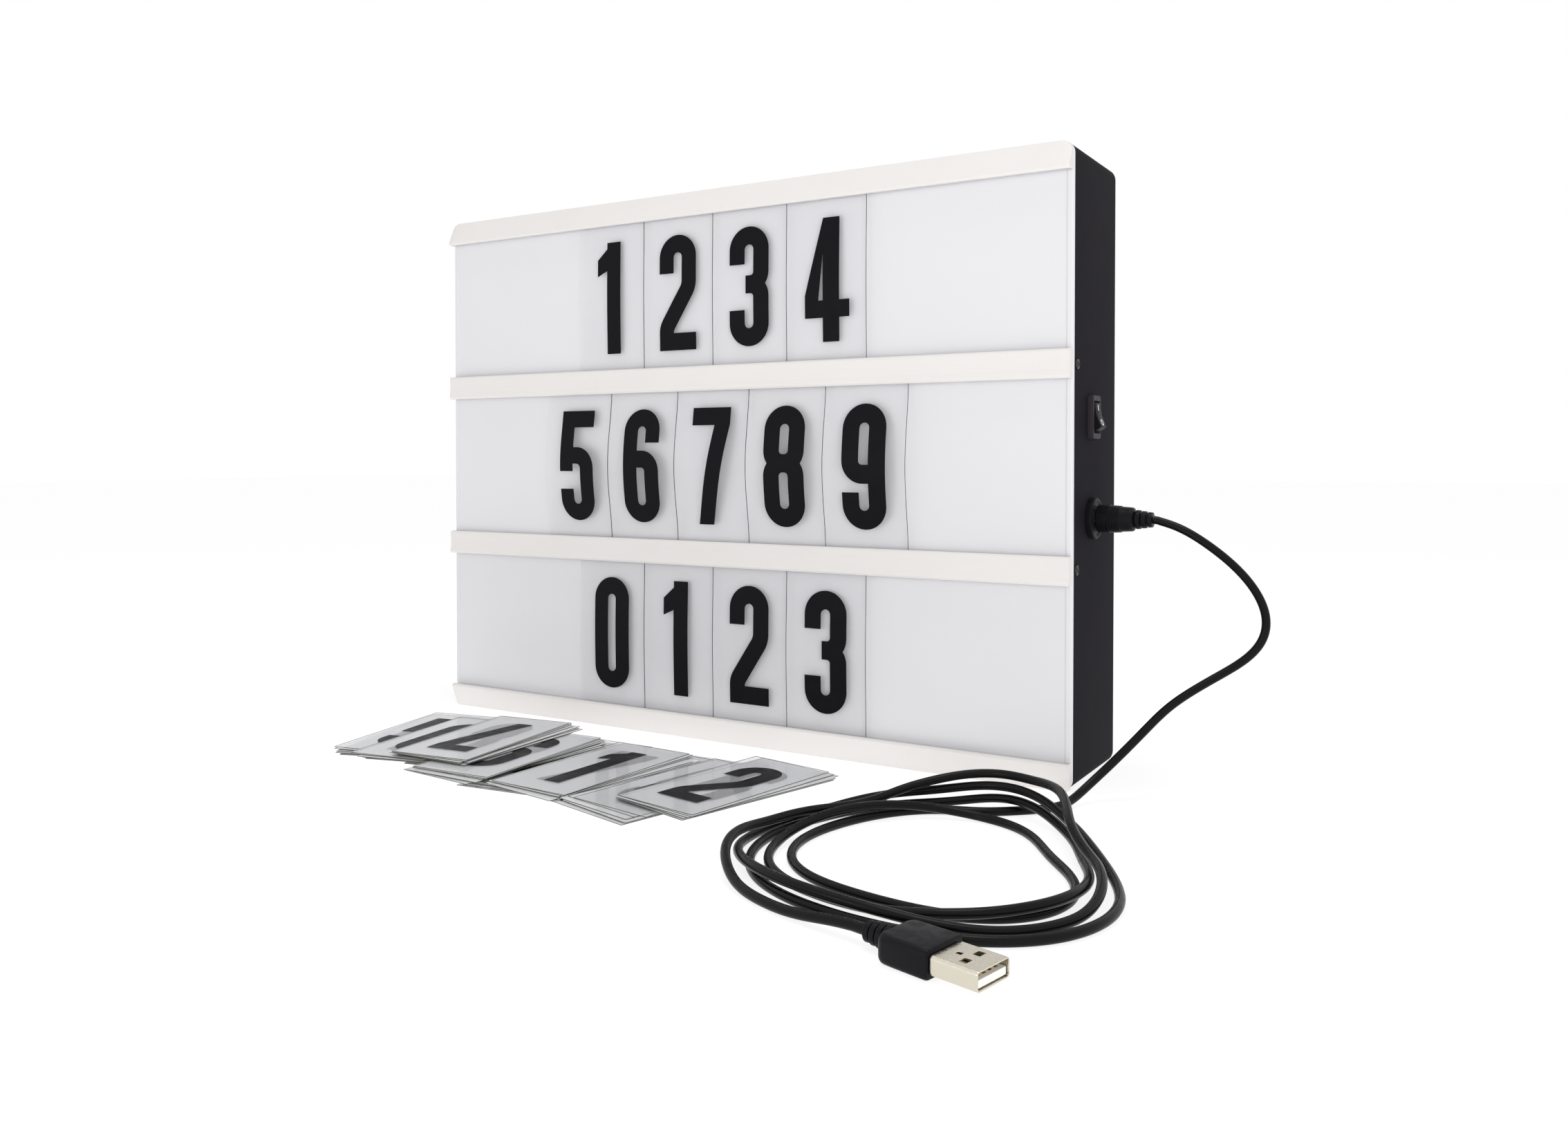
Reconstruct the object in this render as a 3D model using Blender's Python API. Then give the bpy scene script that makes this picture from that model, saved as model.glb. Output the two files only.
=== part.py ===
"""A cinema light box: a black back casing, an opal front with four card rails, sliding
character cards, a rocker switch, a battery bay with a tilting door, and a plugged-in power lead.

Metres, +Z up. The front faces -Y. The origin is the middle of the casing's underside.
"""

import math

import bmesh
import bpy
import numpy as np
from mathutils import Matrix, Vector

# Clearances
GAP = 0.0003
OVERRUN = 0.002

# Box
BOX_W = 0.290
BOX_H = 0.220
BOX_D = 0.052
CORNER_R = 0.004
REAR_EDGE_R = 0.0033
WALL = 0.002

# Front panel
PANEL_T = 0.0015
PANEL_EDGE_R = 0.0007
RIM_W = 0.0023
FIELD_DROP = 0.0004
SKIRT_T = 0.0016
SKIRT_DEPTH = 0.0105
SKIRT_BOSS_X = 0.006
SKIRT_BOSS_Y = 0.006
SKIRT_BOSS_Z = 0.007

# Card rails
RAIL_H = 0.010
RAIL_PROUD = 0.0036
RAIL_INSET = 0.0007
RAIL_CHAMFER = 0.0006
RAIL_TOP_T = 0.0006
RAIL_HOLLOW = 0.0007
RAIL_STEP_BACK = 0.0003
SLOT_DEPTH = 0.0035
SLOT_T = 0.0015

# Character cards
CARD_PITCH = 0.0342
CARD_T = 0.0004
CARD_ENGAGE = 0.0032
CARD_ROW_SHIFT = -0.0006
CARD_ROWS = (("top", 4, 0.0004), ("middle", 5, 0.0030), ("bottom", 4, 0.0006))
CARD_STEPS = 12

# Side screws
SCREW_HEAD_R = 0.0018
SCREW_HEAD_H = 0.0008
SCREW_SHANK_R = 0.0010
SCREW_LENGTH = 0.0085
SCREW_SLOT_W = 0.0005
SCREW_SLOT_DEPTH = 0.0005
SCREW_BACK = 0.0024

# Rocker switch
SWITCH_BACK = 0.0207
SWITCH_RISE = 0.0175
BEZEL_W = 0.0088
BEZEL_H = 0.0152
BEZEL_T = 0.0018
BEZEL_R = 0.0010
BEZEL_EDGE = 0.0004
SWITCH_BODY_W = 0.0082
SWITCH_BODY_H = 0.0136
SWITCH_DEPTH = 0.0125
POCKET_W = 0.0070
ROCKER_PIVOT_OUT = 0.0005
ROCKER_R = 0.0052
ROCKER_VALLEY = 0.0024
ROCKER_END_DEGREES = 34
ROCKER_FOOT_DEGREES = -25
ROCKER_TILT_DEGREES = 15
PIVOT_R = 0.0008
PIVOT_REACH = 0.0004
TERMINAL_W = 0.0048
TERMINAL_T = 0.0008
TERMINAL_L = 0.0060
TERMINAL_SPACING = 0.0070

# Power socket
JACK_BACK = 0.0208
JACK_DROP = 0.0180
JACK_FLANGE_R = 0.0073
JACK_FLANGE_T = 0.0020
JACK_CHAMFER = 0.0006
JACK_BARREL_R = 0.0053
JACK_LENGTH = 0.0130
JACK_BORE_R = 0.0031
JACK_BORE_DEPTH = 0.0110
JACK_PIN_R = 0.0010
JACK_PIN_RECESS = 0.0020
JACK_TAB_L = 0.0040
JACK_TAB_W = 0.0030
JACK_TAB_T = 0.0008
NUT_ACROSS_FLATS = 0.0130
NUT_T = 0.0025

# Battery bay in the back, and its door
CELL_COUNT = 6
CELL_PITCH = 0.015
CELL_LENGTH = 0.0505
SPRING_ROOM = 0.0075
BAY_SIDE = 0.001
BAY_DEPTH = 0.016
BAY_DROP = 0.036
WELL_WALL = 0.0016
RIB_T = 0.0010
RIB_H = 0.0025
DOOR_T = 0.0020
DOOR_LIP = 0.0030
DOOR_CORNER_R = 0.0015
SKIN_T = 0.0009
TONGUE_W = 0.0080
TONGUE_L = 0.0025
TONGUE_SPREAD = 0.060
TONGUE_SWING = 0.0016
LATCH_W = 0.0140
LATCH_H = 0.0030
GRIP_GROOVES = 4
GRIP_PITCH = 0.0022
GRIP_W = 0.0010
GRIP_DROP = 0.0006
GRIP_LENGTH = 0.0100

# Battery contacts
PLATE_T = 0.0005
PLATE_W = 0.0100
PLATE_SIDE = 0.0008
CONE_FOOT_R = 0.0036
CONE_TIP_R = 0.0018
CONE_H = 0.0050
CONE_TURNS = 4
PAD_R = 0.0024
PAD_H = 0.0006

# Wall hangers in the back
HANGER_X = 0.070
HANGER_DROP = 0.048
HANGER_HEAD_R = 0.0045
HANGER_SLOT_R = 0.0023
HANGER_SLOT_L = 0.0085

# Light board
REFLECTOR_T = 0.0010
REFLECTOR_SIDE = 0.025
REFLECTOR_MARGIN = 0.008
REFLECTOR_RIM = 0.006
STRIP_W = 0.0080
STRIP_T = 0.0010
STRIP_INSET = 0.010
LED_COUNT = 6
LED_W = 0.0050
LED_H = 0.0050
LED_T = 0.0016

# Driver board
BOARD_INSET = 0.053
BOARD_DROP = 0.070
BOARD_W = 0.030
BOARD_H = 0.020
BOARD_T = 0.0012
BOARD_BOSS_R = 0.0025
BOARD_BOSS_L = 0.0060
BOARD_BOSS_SPREAD = 0.022
COIL_R = 0.0030
COIL_H = 0.0040
CHIP_W = 0.0050
CHIP_T = 0.0016

# Inside wires
WIRE_R = 0.0007

# Power lead
CORD_R = 0.0014
BARREL_R = 0.00275
BARREL_BORE_R = 0.0013
BARREL_LENGTH = 0.0095
GRIP_ROOT_R = 0.0049
GRIP_TAIL_R = 0.0041
GRIP_BODY_L = 0.0128
RING_COUNT = 5
RING_PITCH = 0.0008
RING_RISE = 0.0002
RELIEF_L = 0.0062
RELIEF_RIBS = 3
RELIEF_ROOT_R = 0.0033
RELIEF_TAIL_R = 0.0028
RELIEF_NECK_R = 0.0022
CORD_STEP = 0.0070

# Where the lead goes from its plug down to the surface: distance out from the box's right-hand
# side, distance back from the box's front, and height as a share of the socket's height
CORD_OUT = (
    0.0288, 0.0354, 0.0417, 0.0476, 0.0526, 0.0561, 0.0583, 0.0586, 0.0567,
    0.0510, 0.0410, 0.0302, 0.0224, 0.0132, 0.0074, 0.0050, 0.0028,
)
CORD_BACK = (
    0.0200, 0.0188, 0.0184, 0.0190, 0.0202, 0.0214, 0.0224, 0.0232, 0.0228,
    0.0202, 0.0150, 0.0084, 0.0038, -0.0026, -0.0094, -0.0170, -0.0250,
)
CORD_HEIGHT_SHARES = (
    0.98152, 0.94891, 0.90543, 0.85435, 0.79565, 0.73696, 0.67826, 0.61848, 0.55978,
    0.49674, 0.42500, 0.33804, 0.23696, 0.11957, 0.05000, 0.01630, 0.01522,
)

# The loose coil: a radius that grows from the first turn to the last, with a few slow waves
LEAD_COIL_OUT = -0.0085
LEAD_COIL_FRONT = 0.0883
LEAD_COIL_R = 0.0405
LEAD_COIL_GROWTH = 0.0175
LEAD_COIL_START_DEGREES = 98
LEAD_COIL_END_DEGREES = 1700
LEAD_COIL_POINTS_PER_TURN = 24
LEAD_COIL_WAVES = (
    (1, 0.0038, 218),
    (2, 0.0034, 246),
    (3, 0.0031, 270),
    (0.35, 0.0031, -19),
    (1.55, 0.0023, 152.5),
)
# Places where one turn is pulled in or let out: at which angle, by how much, over which reach
LEAD_COIL_PULLS = (
    (280, -0.0030, 45),
    (1000, -0.0018, 35),
    (1475, -0.0080, 38),
    (1590, -0.0045, 35),
    (1660, 0.0025, 25),
)
LEAD_COIL_CLEARANCE = 0.0010
HUMP_REACH = 0.026
ARCH_HEIGHT = 0.0120
ARCH_REACH = 0.042
ARCH_DEGREES = 1505

# USB plug, lying on the surface in front of the coil
USB_OUT = -0.0030
USB_FRONT = 0.1497
USB_TURN_DEGREES = -13
USB_BODY_L = 0.0175
USB_BODY_W = 0.0140
USB_BODY_T = 0.0070
USB_BODY_R = 0.0022
USB_EDGE_R = 0.0008
USB_RELIEF_L = 0.0078
USB_RELIEF_RIBS = 4
USB_RELIEF_ROOT_R = 0.0032
USB_RELIEF_TAIL_R = 0.0025
USB_RELIEF_NECK_R = 0.0021
USB_SHELL_L = 0.0125
USB_SHELL_W = 0.0120
USB_SHELL_T = 0.0045
USB_SHELL_WALL = 0.0004
USB_HOLE = 0.0022
USB_HOLE_SPREAD = 0.0050
USB_HOLE_BACK = 0.0058
USB_TONGUE_T = 0.0018
USB_CONTACT_W = 0.0010
USB_CONTACT_T = 0.0002
USB_CONTACT_PITCH = 0.0022
USB_CONTACTS = 4

# Spare cards, fanned on the surface in front of the box in sheaves of a few cards. Each row of
# shares is: place from the box's right-hand side in card widths, place in front of the box in card
# heights, turn, and layer
SPARE_FRONT = 0.062
SHEAF_T = 0.0016
SHEAF_GAP = 0.0003
SPARE_SHEAF_SHARES = (
    (-7.394, 0.18, 12, 0),
    (-6.232, 0.14, 7, 0),
    (-5.045, 0.08, 1, 0),
    (-3.816, 0.02, -4, 0),
    (-6.784, 0.05, 9, 1),
    (-5.639, 0.00, 4, 1),
    (-4.409, -0.02, -2, 1),
    (-3.095, -0.08, -9, 1),
    (-6.232, 0.10, 8, 2),
    (-2.518, -0.02, -9.5, 2),
)

# Derived places
FRONT_Y = -BOX_D / 2
BACK_Y = BOX_D / 2
SIDE_X = BOX_W / 2
CASE_FRONT_Y = FRONT_Y + PANEL_T + GAP
SKIRT_BACK_Y = FRONT_Y + PANEL_T + SKIRT_DEPTH
WINDOW_H = (BOX_H - 4 * RAIL_H) / 3
RAIL_BACK_Y = FRONT_Y - GAP
RAIL_SLOT_Y = RAIL_BACK_Y - SLOT_T
RAIL_FRONT_Y = FRONT_Y - RAIL_PROUD
CARD_W = CARD_PITCH - GAP
CARD_H = WINDOW_H + 2 * CARD_ENGAGE
CARD_Y = RAIL_BACK_Y - SLOT_T / 2
SCREW_Y = CASE_FRONT_Y + SCREW_BACK
BAY_W = CELL_COUNT * CELL_PITCH + 2 * BAY_SIDE
BAY_H = CELL_LENGTH + SPRING_ROOM
BAY_Z = BOX_H / 2 - BAY_DROP
SEAT_W = BAY_W + 2 * DOOR_LIP
SEAT_H = BAY_H + 2 * DOOR_LIP
SEAT_Y = BACK_Y - DOOR_T - GAP
SEAT_LOW_Z = BAY_Z - SEAT_H / 2
SEAT_HIGH_Z = BAY_Z + SEAT_H / 2
BAY_FLOOR_Y = SEAT_Y - BAY_DEPTH
WELL_W = SEAT_W + 2 * WELL_WALL
WELL_H = SEAT_H + 2 * WELL_WALL
WELL_FRONT_Y = BAY_FLOOR_Y - WELL_WALL
CELL_Y = SEAT_Y - BAY_DEPTH / 2
SWITCH_Z = BOX_H / 2 + SWITCH_RISE
JACK_Z = BOX_H / 2 - JACK_DROP
HANGER_Z = BOX_H - HANGER_DROP
SWITCH_Y = FRONT_Y + SWITCH_BACK
JACK_Y = FRONT_Y + JACK_BACK
PIVOT_X = SIDE_X + ROCKER_PIVOT_OUT
BEZEL_FACE_X = SIDE_X + GAP + BEZEL_T
POCKET_H = 2 * (ROCKER_R + GAP)
JACK_FACE_X = SIDE_X + GAP + JACK_FLANGE_T
GRIP_START_X = JACK_FACE_X + GAP
GRIP_END_X = GRIP_START_X + GRIP_BODY_L + RELIEF_L
REFLECTOR_BACK_Y = WELL_FRONT_Y - GAP
REFLECTOR_FRONT_Y = REFLECTOR_BACK_Y - REFLECTOR_T
REFLECTOR_HALF_W = SIDE_X - REFLECTOR_SIDE
BOARD_X = SIDE_X - BOARD_INSET
BOARD_Z = BOX_H - BOARD_DROP
BOARD_BACK_Y = BACK_Y - WALL - BOARD_BOSS_L - GAP
LEAD_COIL_X = SIDE_X + LEAD_COIL_OUT
LEAD_COIL_Y = FRONT_Y - LEAD_COIL_FRONT
USB_X = SIDE_X + USB_OUT
USB_Y = FRONT_Y - USB_FRONT
USB_Z = USB_BODY_T / 2

for old in list(bpy.data.objects):
    bpy.data.objects.remove(old, do_unlink=True)


def material(name, colour, roughness, metallic=0.0):
    """A Principled finish from an sRGB hex colour."""
    made = bpy.data.materials.new(name)
    made.use_nodes = True
    channels = [int(colour[i : i + 2], 16) / 255 for i in (0, 2, 4)]
    linear = [c / 12.92 if c <= 0.04045 else ((c + 0.055) / 1.055) ** 2.4 for c in channels]
    shader = made.node_tree.nodes["Principled BSDF"]
    shader.inputs["Base Color"].default_value = (*linear, 1.0)
    shader.inputs["Roughness"].default_value = roughness
    shader.inputs["Metallic"].default_value = metallic
    return made


BLACK_ABS = material("black_moulded_plastic", "2b2a2e", 0.45)
OPAL = material("opal_panel_plastic", "e9e9ec", 0.35)
WHITE_RAIL = material("white_rail_plastic", "f1efec", 0.4)
CLEAR_CARD = material("clear_card_film", "d8dadd", 0.2)
SCREW_STEEL = material("blackened_screw_steel", "3a3835", 0.4, 0.9)
SWITCH_BLACK = material("black_switch_nylon", "1e1d20", 0.4)
CORD_BLACK = material("black_lead_pvc", "18171a", 0.35)
NICKEL = material("nickel_plated_steel", "c9c5b8", 0.25, 1.0)
WHITE_BOARD = material("white_board", "e6e6e2", 0.5)
GREEN_BOARD = material("green_board", "2d6b45", 0.45)
WIRE_RED = material("red_wire_pvc", "a32420", 0.45)
WIRE_BLACK = material("black_wire_pvc", "202022", 0.45)


def to_object(name, bm, finish, smooth=True):
    """A mesh object from a bmesh, with its faces pointing out."""
    bmesh.ops.recalc_face_normals(bm, faces=bm.faces[:])
    mesh = bpy.data.meshes.new(name)
    bm.to_mesh(mesh)
    bm.free()
    mesh.materials.append(finish)
    if smooth:
        mesh.shade_smooth()
        mesh.set_sharp_from_angle(angle=math.radians(35))
    made = bpy.data.objects.new(name, mesh)
    bpy.context.collection.objects.link(made)
    return made


def point_on(axis, across, along):
    """A 2-D outline point at a distance along an axis: X takes (y, z), Y (x, z), and Z (x, y)."""
    a, b = across
    return {"X": (along, a, b), "Y": (a, along, b), "Z": (a, b, along)}[axis]


def prism_mesh(outline, axis, start, end):
    """An outline extruded along an axis from start to end."""
    bm = bmesh.new()
    face = bm.faces.new([bm.verts.new(point_on(axis, p, start)) for p in outline])
    shift = Vector(point_on(axis, (0, 0), end)) - Vector(point_on(axis, (0, 0), start))
    swept = bmesh.ops.extrude_face_region(bm, geom=[face])
    moved = [v for v in swept["geom"] if isinstance(v, bmesh.types.BMVert)]
    bmesh.ops.translate(bm, verts=moved, vec=shift)
    return bm


def prism(name, outline, axis, start, end, finish):
    return to_object(name, prism_mesh(outline, axis, start, end), finish)


def box_outline(low, high):
    return [(low[0], low[1]), (high[0], low[1]), (high[0], high[1]), (low[0], high[1])]


def box(name, low, high, finish):
    """A block between two corners."""
    return prism(name, box_outline(low[:2], high[:2]), "Z", low[2], high[2], finish)


def arc(centre, radius, start, end, steps):
    """Points on an arc, in degrees, from start to end."""
    angles = [math.radians(start + (end - start) * i / steps) for i in range(steps + 1)]
    return [(centre[0] + radius * math.cos(a), centre[1] + radius * math.sin(a)) for a in angles]


def rounded(centre, width, height, radius, steps=6):
    """A rectangle with round corners, anticlockwise from its right side."""
    half_w = width / 2 - radius
    half_h = height / 2 - radius
    points = []
    for corner, (side_x, side_y) in enumerate(((1, 1), (-1, 1), (-1, -1), (1, -1))):
        middle = (centre[0] + side_x * half_w, centre[1] + side_y * half_h)
        points += arc(middle, radius, corner * 90, corner * 90 + 90, steps)
    return points


def disc(centre, radius, sides):
    return arc(centre, radius, 0, 360 - 360 / sides, sides - 1)


def turned_mesh(profile, origin, direction, sides):
    """A profile of (radius, distance along the axis) points turned once round the axis.

    Each point off the axis gives a ring. The first and last points lie on the axis. Where one is
    level with its neighbour, the end is one flat face.
    """
    axis = Vector(direction).normalized()
    across = axis.orthogonal().normalized()
    other = axis.cross(across)
    bm = bmesh.new()
    turns = [2 * math.pi * i / sides for i in range(sides)]
    rings = []
    for radius, along in profile[1:-1]:
        centre = Vector(origin) + axis * along
        spots = [centre + (across * math.cos(t) + other * math.sin(t)) * radius for t in turns]
        rings.append([bm.verts.new(spot) for spot in spots])
    for first, second in zip(rings, rings[1:]):
        for i in range(sides):
            j = (i + 1) % sides
            bm.faces.new((first[i], first[j], second[j], second[i]))
    ends = ((rings[0], profile[0], profile[1]), (rings[-1], profile[-1], profile[-2]))
    for ring, end, neighbour in ends:
        if end[1] == neighbour[1]:
            bm.faces.new(ring)
            continue
        tip = bm.verts.new(Vector(origin) + axis * end[1])
        for i in range(sides):
            bm.faces.new((ring[i], ring[(i + 1) % sides], tip))
    return bm


def turned(name, profile, origin, direction, sides, finish):
    return to_object(name, turned_mesh(profile, origin, direction, sides), finish)


def bevel_edges(bm, chosen, width, steps):
    """Rounds the edges that a test picks."""
    edges = [e for e in bm.edges if chosen(e)]
    bmesh.ops.bevel(bm, geom=edges, offset=width, segments=steps, profile=0.5, affect="EDGES")
    bmesh.ops.remove_doubles(bm, verts=bm.verts[:], dist=1e-6)


def lies_at(edge, axis, place):
    """Whether an edge lies in the plane at a place on an axis. The test allows a rounding error."""
    return all(abs(v.co[axis] - place) < GAP / 10 for v in edge.verts)


def use_as_cutter(helper):
    helper.hide_render = True
    helper.display_type = "WIRE"


def combine(target, helper, operation):
    """Adds or cuts a helper solid with a Boolean, and hides the helper from the render."""
    use_as_cutter(helper)
    modifier = target.modifiers.new(helper.name, "BOOLEAN")
    modifier.operation = operation
    modifier.object = helper


def cut(target, helper):
    combine(target, helper, "DIFFERENCE")


def fuse(target, helper):
    combine(target, helper, "UNION")


def set_origin(target, place):
    """Moves an object's origin, and leaves its mesh where it is."""
    target.data.transform(Matrix.Translation(-Vector(place)))
    target.location = place


def smooth_curve(points, pieces):
    """A Catmull-Rom curve through the points, with a number of pieces between each two."""
    points = np.asarray(points, float)
    ends = np.vstack([2 * points[0] - points[1], points, 2 * points[-1] - points[-2]])
    t = np.linspace(0, 1, pieces, endpoint=False)[:, None]
    found = []
    for a, b, c, d in zip(ends, ends[1:], ends[2:], ends[3:]):
        square = (2 * a - 5 * b + 4 * c - d) * t**2
        cube = (3 * b - a - 3 * c + d) * t**3
        found.append(0.5 * (2 * b + (c - a) * t + square + cube))
    return np.vstack(found + [points[-1:]])


def lengths_along(points):
    return np.concatenate([[0], np.cumsum(np.linalg.norm(np.diff(points, axis=0), axis=1))])


def evenly(points, step):
    """The same line with its points a step apart."""
    along = lengths_along(points)
    places = np.linspace(0, along[-1], max(2, round(along[-1] / step) + 1))
    return np.stack([np.interp(places, along, points[:, k]) for k in range(points.shape[1])], 1)


def tube(name, points, radius, resolution, finish):
    """A curve object with a round section and filled caps."""
    curve = bpy.data.curves.new(name, "CURVE")
    curve.dimensions = "3D"
    curve.bevel_depth = radius
    curve.bevel_resolution = resolution
    curve.use_fill_caps = True
    spline = curve.splines.new("POLY")
    spline.points.add(len(points) - 1)
    for place, point in zip(spline.points, points):
        place.co = (*point, 1)
    curve.materials.append(finish)
    made = bpy.data.objects.new(name, curve)
    bpy.context.collection.objects.link(made)
    return made


# Back casing


def keyhole_outline(x, z):
    """A round opening for a screw's head, with a narrower slot above it."""
    half = math.degrees(math.asin(HANGER_SLOT_R / HANGER_HEAD_R))
    head = arc((x, z), HANGER_HEAD_R, 90 + half, 450 - half, 20)
    return head + arc((x, z + HANGER_SLOT_L), HANGER_SLOT_R, 0, 180, 8)


def build_casing():
    """A moulded back shell, open at the front, with the battery well moulded into it."""
    middle = (0, BOX_H / 2)
    outline = rounded(middle, BOX_W, BOX_H, CORNER_R)
    bm = prism_mesh(outline, "Y", CASE_FRONT_Y, BACK_Y)
    bevel_edges(bm, lambda e: lies_at(e, 1, BACK_Y), REAR_EDGE_R, 4)
    casing = to_object("rear_casing", bm, BLACK_ABS)
    hollow = rounded(middle, BOX_W - 2 * WALL, BOX_H - 2 * WALL, CORNER_R - WALL)
    cut(casing, prism("cut_hollow", hollow, "Y", CASE_FRONT_Y - OVERRUN, BACK_Y - WALL, BLACK_ABS))
    well = box(
        "add_well",
        (-WELL_W / 2, WELL_FRONT_Y, BAY_Z - WELL_H / 2),
        (WELL_W / 2, BACK_Y - WALL / 2, BAY_Z + WELL_H / 2),
        BLACK_ABS,
    )
    fuse(casing, well)
    for side in (-1, 1):
        x = BOARD_X + side * BOARD_BOSS_SPREAD / 2
        outline = disc((x, BOARD_Z), BOARD_BOSS_R, 12)
        ends = (BACK_Y - WALL - BOARD_BOSS_L, BACK_Y - WALL / 2)
        boss = prism(f"add_board_boss_{side}", outline, "Y", *ends, BLACK_ABS)
        fuse(casing, boss)
    bay = box(
        "cut_bay",
        (-BAY_W / 2, BAY_FLOOR_Y, BAY_Z - BAY_H / 2),
        (BAY_W / 2, BACK_Y + OVERRUN, BAY_Z + BAY_H / 2),
        BLACK_ABS,
    )
    cut(casing, bay)
    outline = rounded((0, BAY_Z), SEAT_W, SEAT_H, DOOR_CORNER_R + GAP, 3)
    cut(casing, prism("cut_door_seat", outline, "Y", SEAT_Y, BACK_Y + OVERRUN, BLACK_ABS))
    notch = box(
        "cut_latch_notch",
        (-LATCH_W / 2 - GAP, SEAT_Y, SEAT_HIGH_Z - DOOR_CORNER_R),
        (LATCH_W / 2 + GAP, BACK_Y + OVERRUN, SEAT_HIGH_Z + LATCH_H),
        BLACK_ABS,
    )
    cut(casing, notch)
    for side in (-1, 1):
        x = side * TONGUE_SPREAD / 2
        pocket = box(
            f"cut_tongue_pocket_{side}",
            (x - TONGUE_W / 2 - GAP, SEAT_Y - TONGUE_L, SEAT_LOW_Z - TONGUE_L - 2 * GAP),
            (x + TONGUE_W / 2 + GAP, BACK_Y - SKIN_T, SEAT_LOW_Z + GAP + TONGUE_SWING),
            BLACK_ABS,
        )
        cut(casing, pocket)
        outline = keyhole_outline(side * HANGER_X, HANGER_Z)
        ends = (BACK_Y - WALL - OVERRUN, BACK_Y + OVERRUN)
        cut(casing, prism(f"cut_hanger_{side}", outline, "Y", *ends, BLACK_ABS))
    for number in range(1, CELL_COUNT):
        x = (number - CELL_COUNT / 2) * CELL_PITCH
        rib = box(
            f"add_rib_{number}",
            (x - RIB_T / 2, BAY_FLOOR_Y - WELL_WALL / 2, BAY_Z - BAY_H / 4),
            (x + RIB_T / 2, BAY_FLOOR_Y + RIB_H, BAY_Z + BAY_H / 4),
            BLACK_ABS,
        )
        fuse(casing, rib)
    half_y = SWITCH_BODY_W / 2 + GAP
    half_z = SWITCH_BODY_H / 2 + GAP
    opening = box(
        "cut_switch_opening",
        (SIDE_X - WALL - OVERRUN, SWITCH_Y - half_y, SWITCH_Z - half_z),
        (SIDE_X + OVERRUN, SWITCH_Y + half_y, SWITCH_Z + half_z),
        BLACK_ABS,
    )
    cut(casing, opening)
    outline = disc((JACK_Y, JACK_Z), JACK_BARREL_R + GAP, 24)
    ends = (SIDE_X - WALL - OVERRUN, SIDE_X + OVERRUN)
    cut(casing, prism("cut_jack_hole", outline, "X", *ends, BLACK_ABS))
    for name, side, z in screw_places():
        outline = disc((SCREW_Y, z), SCREW_SHANK_R + GAP, 12)
        ends = sorted((side * (SIDE_X - WALL - GAP / 2), side * (SIDE_X + OVERRUN)))
        cut(casing, prism(f"cut_{name}", outline, "X", *ends, BLACK_ABS))
    return casing


def screw_places():
    """Each side screw sits at the height of a middle rail: its name, its side and its height."""
    for side, word in ((-1, "left"), (1, "right")):
        for row, level in ((1, "lower"), (2, "upper")):
            yield f"{word}_{level}_screw", side, row * (WINDOW_H + RAIL_H) + RAIL_H / 2


# Front panel


def build_panel():
    """The opal front: a plate over the casing's mouth, with a skirt that slips inside it."""
    middle = (0, BOX_H / 2)
    plate = prism_mesh(rounded(middle, BOX_W, BOX_H, CORNER_R), "Y", FRONT_Y, FRONT_Y + PANEL_T)
    bevel_edges(plate, lambda e: lies_at(e, 1, FRONT_Y), PANEL_EDGE_R, 2)
    panel = to_object("front_panel", plate, OPAL)
    skirt_w = BOX_W - 2 * WALL - 2 * GAP
    skirt_h = BOX_H - 2 * WALL - 2 * GAP
    radius = CORNER_R - WALL - GAP
    outer = rounded(middle, skirt_w, skirt_h, radius)
    fuse(panel, prism("add_skirt", outer, "Y", FRONT_Y + PANEL_T / 2, SKIRT_BACK_Y, OPAL))
    inner = box_outline(
        (-skirt_w / 2 + SKIRT_T, WALL + GAP + SKIRT_T),
        (skirt_w / 2 - SKIRT_T, BOX_H - WALL - GAP - SKIRT_T),
    )
    cut(panel, prism("cut_skirt", inner, "Y", FRONT_Y + PANEL_T, SKIRT_BACK_Y + OVERRUN, OPAL))
    field = box(
        "cut_field",
        (-SIDE_X + RIM_W, FRONT_Y - OVERRUN, RIM_W),
        (SIDE_X - RIM_W, FRONT_Y + FIELD_DROP, BOX_H - RIM_W),
        OPAL,
    )
    cut(panel, field)
    for name, side, z in screw_places():
        near = skirt_w / 2 - SKIRT_T / 2
        far = skirt_w / 2 - SKIRT_T - SKIRT_BOSS_X
        xs = sorted((side * near, side * far))
        boss = box(
            f"add_boss_{name}",
            (xs[0], FRONT_Y + PANEL_T / 2, z - SKIRT_BOSS_Z / 2),
            (xs[1], SCREW_Y + SKIRT_BOSS_Y / 2, z + SKIRT_BOSS_Z / 2),
            OPAL,
        )
        fuse(panel, boss)
        outline = disc((SCREW_Y, z), SCREW_SHANK_R + GAP, 12)
        ends = sorted((side * (skirt_w / 2 + OVERRUN / 4), side * (far - OVERRUN)))
        cut(panel, prism(f"cut_boss_{name}", outline, "X", *ends, OPAL))
    return panel


# Card rails


def end_rail_profile(z_outer, inward):
    """A wedge: thin at the box's outer edge, proud at the lip that overhangs the cards.

    inward is -1 for the top rail and 1 for the bottom rail.
    """
    lip = z_outer + inward * RAIL_H
    slot_end = lip - inward * SLOT_DEPTH
    return [
        (RAIL_BACK_Y, slot_end),
        (RAIL_BACK_Y, z_outer),
        (RAIL_BACK_Y - RAIL_TOP_T, z_outer),
        (RAIL_FRONT_Y, lip - inward * RAIL_CHAMFER),
        (RAIL_FRONT_Y + RAIL_CHAMFER, lip),
        (RAIL_SLOT_Y, lip),
        (RAIL_SLOT_Y, slot_end),
    ]


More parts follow.
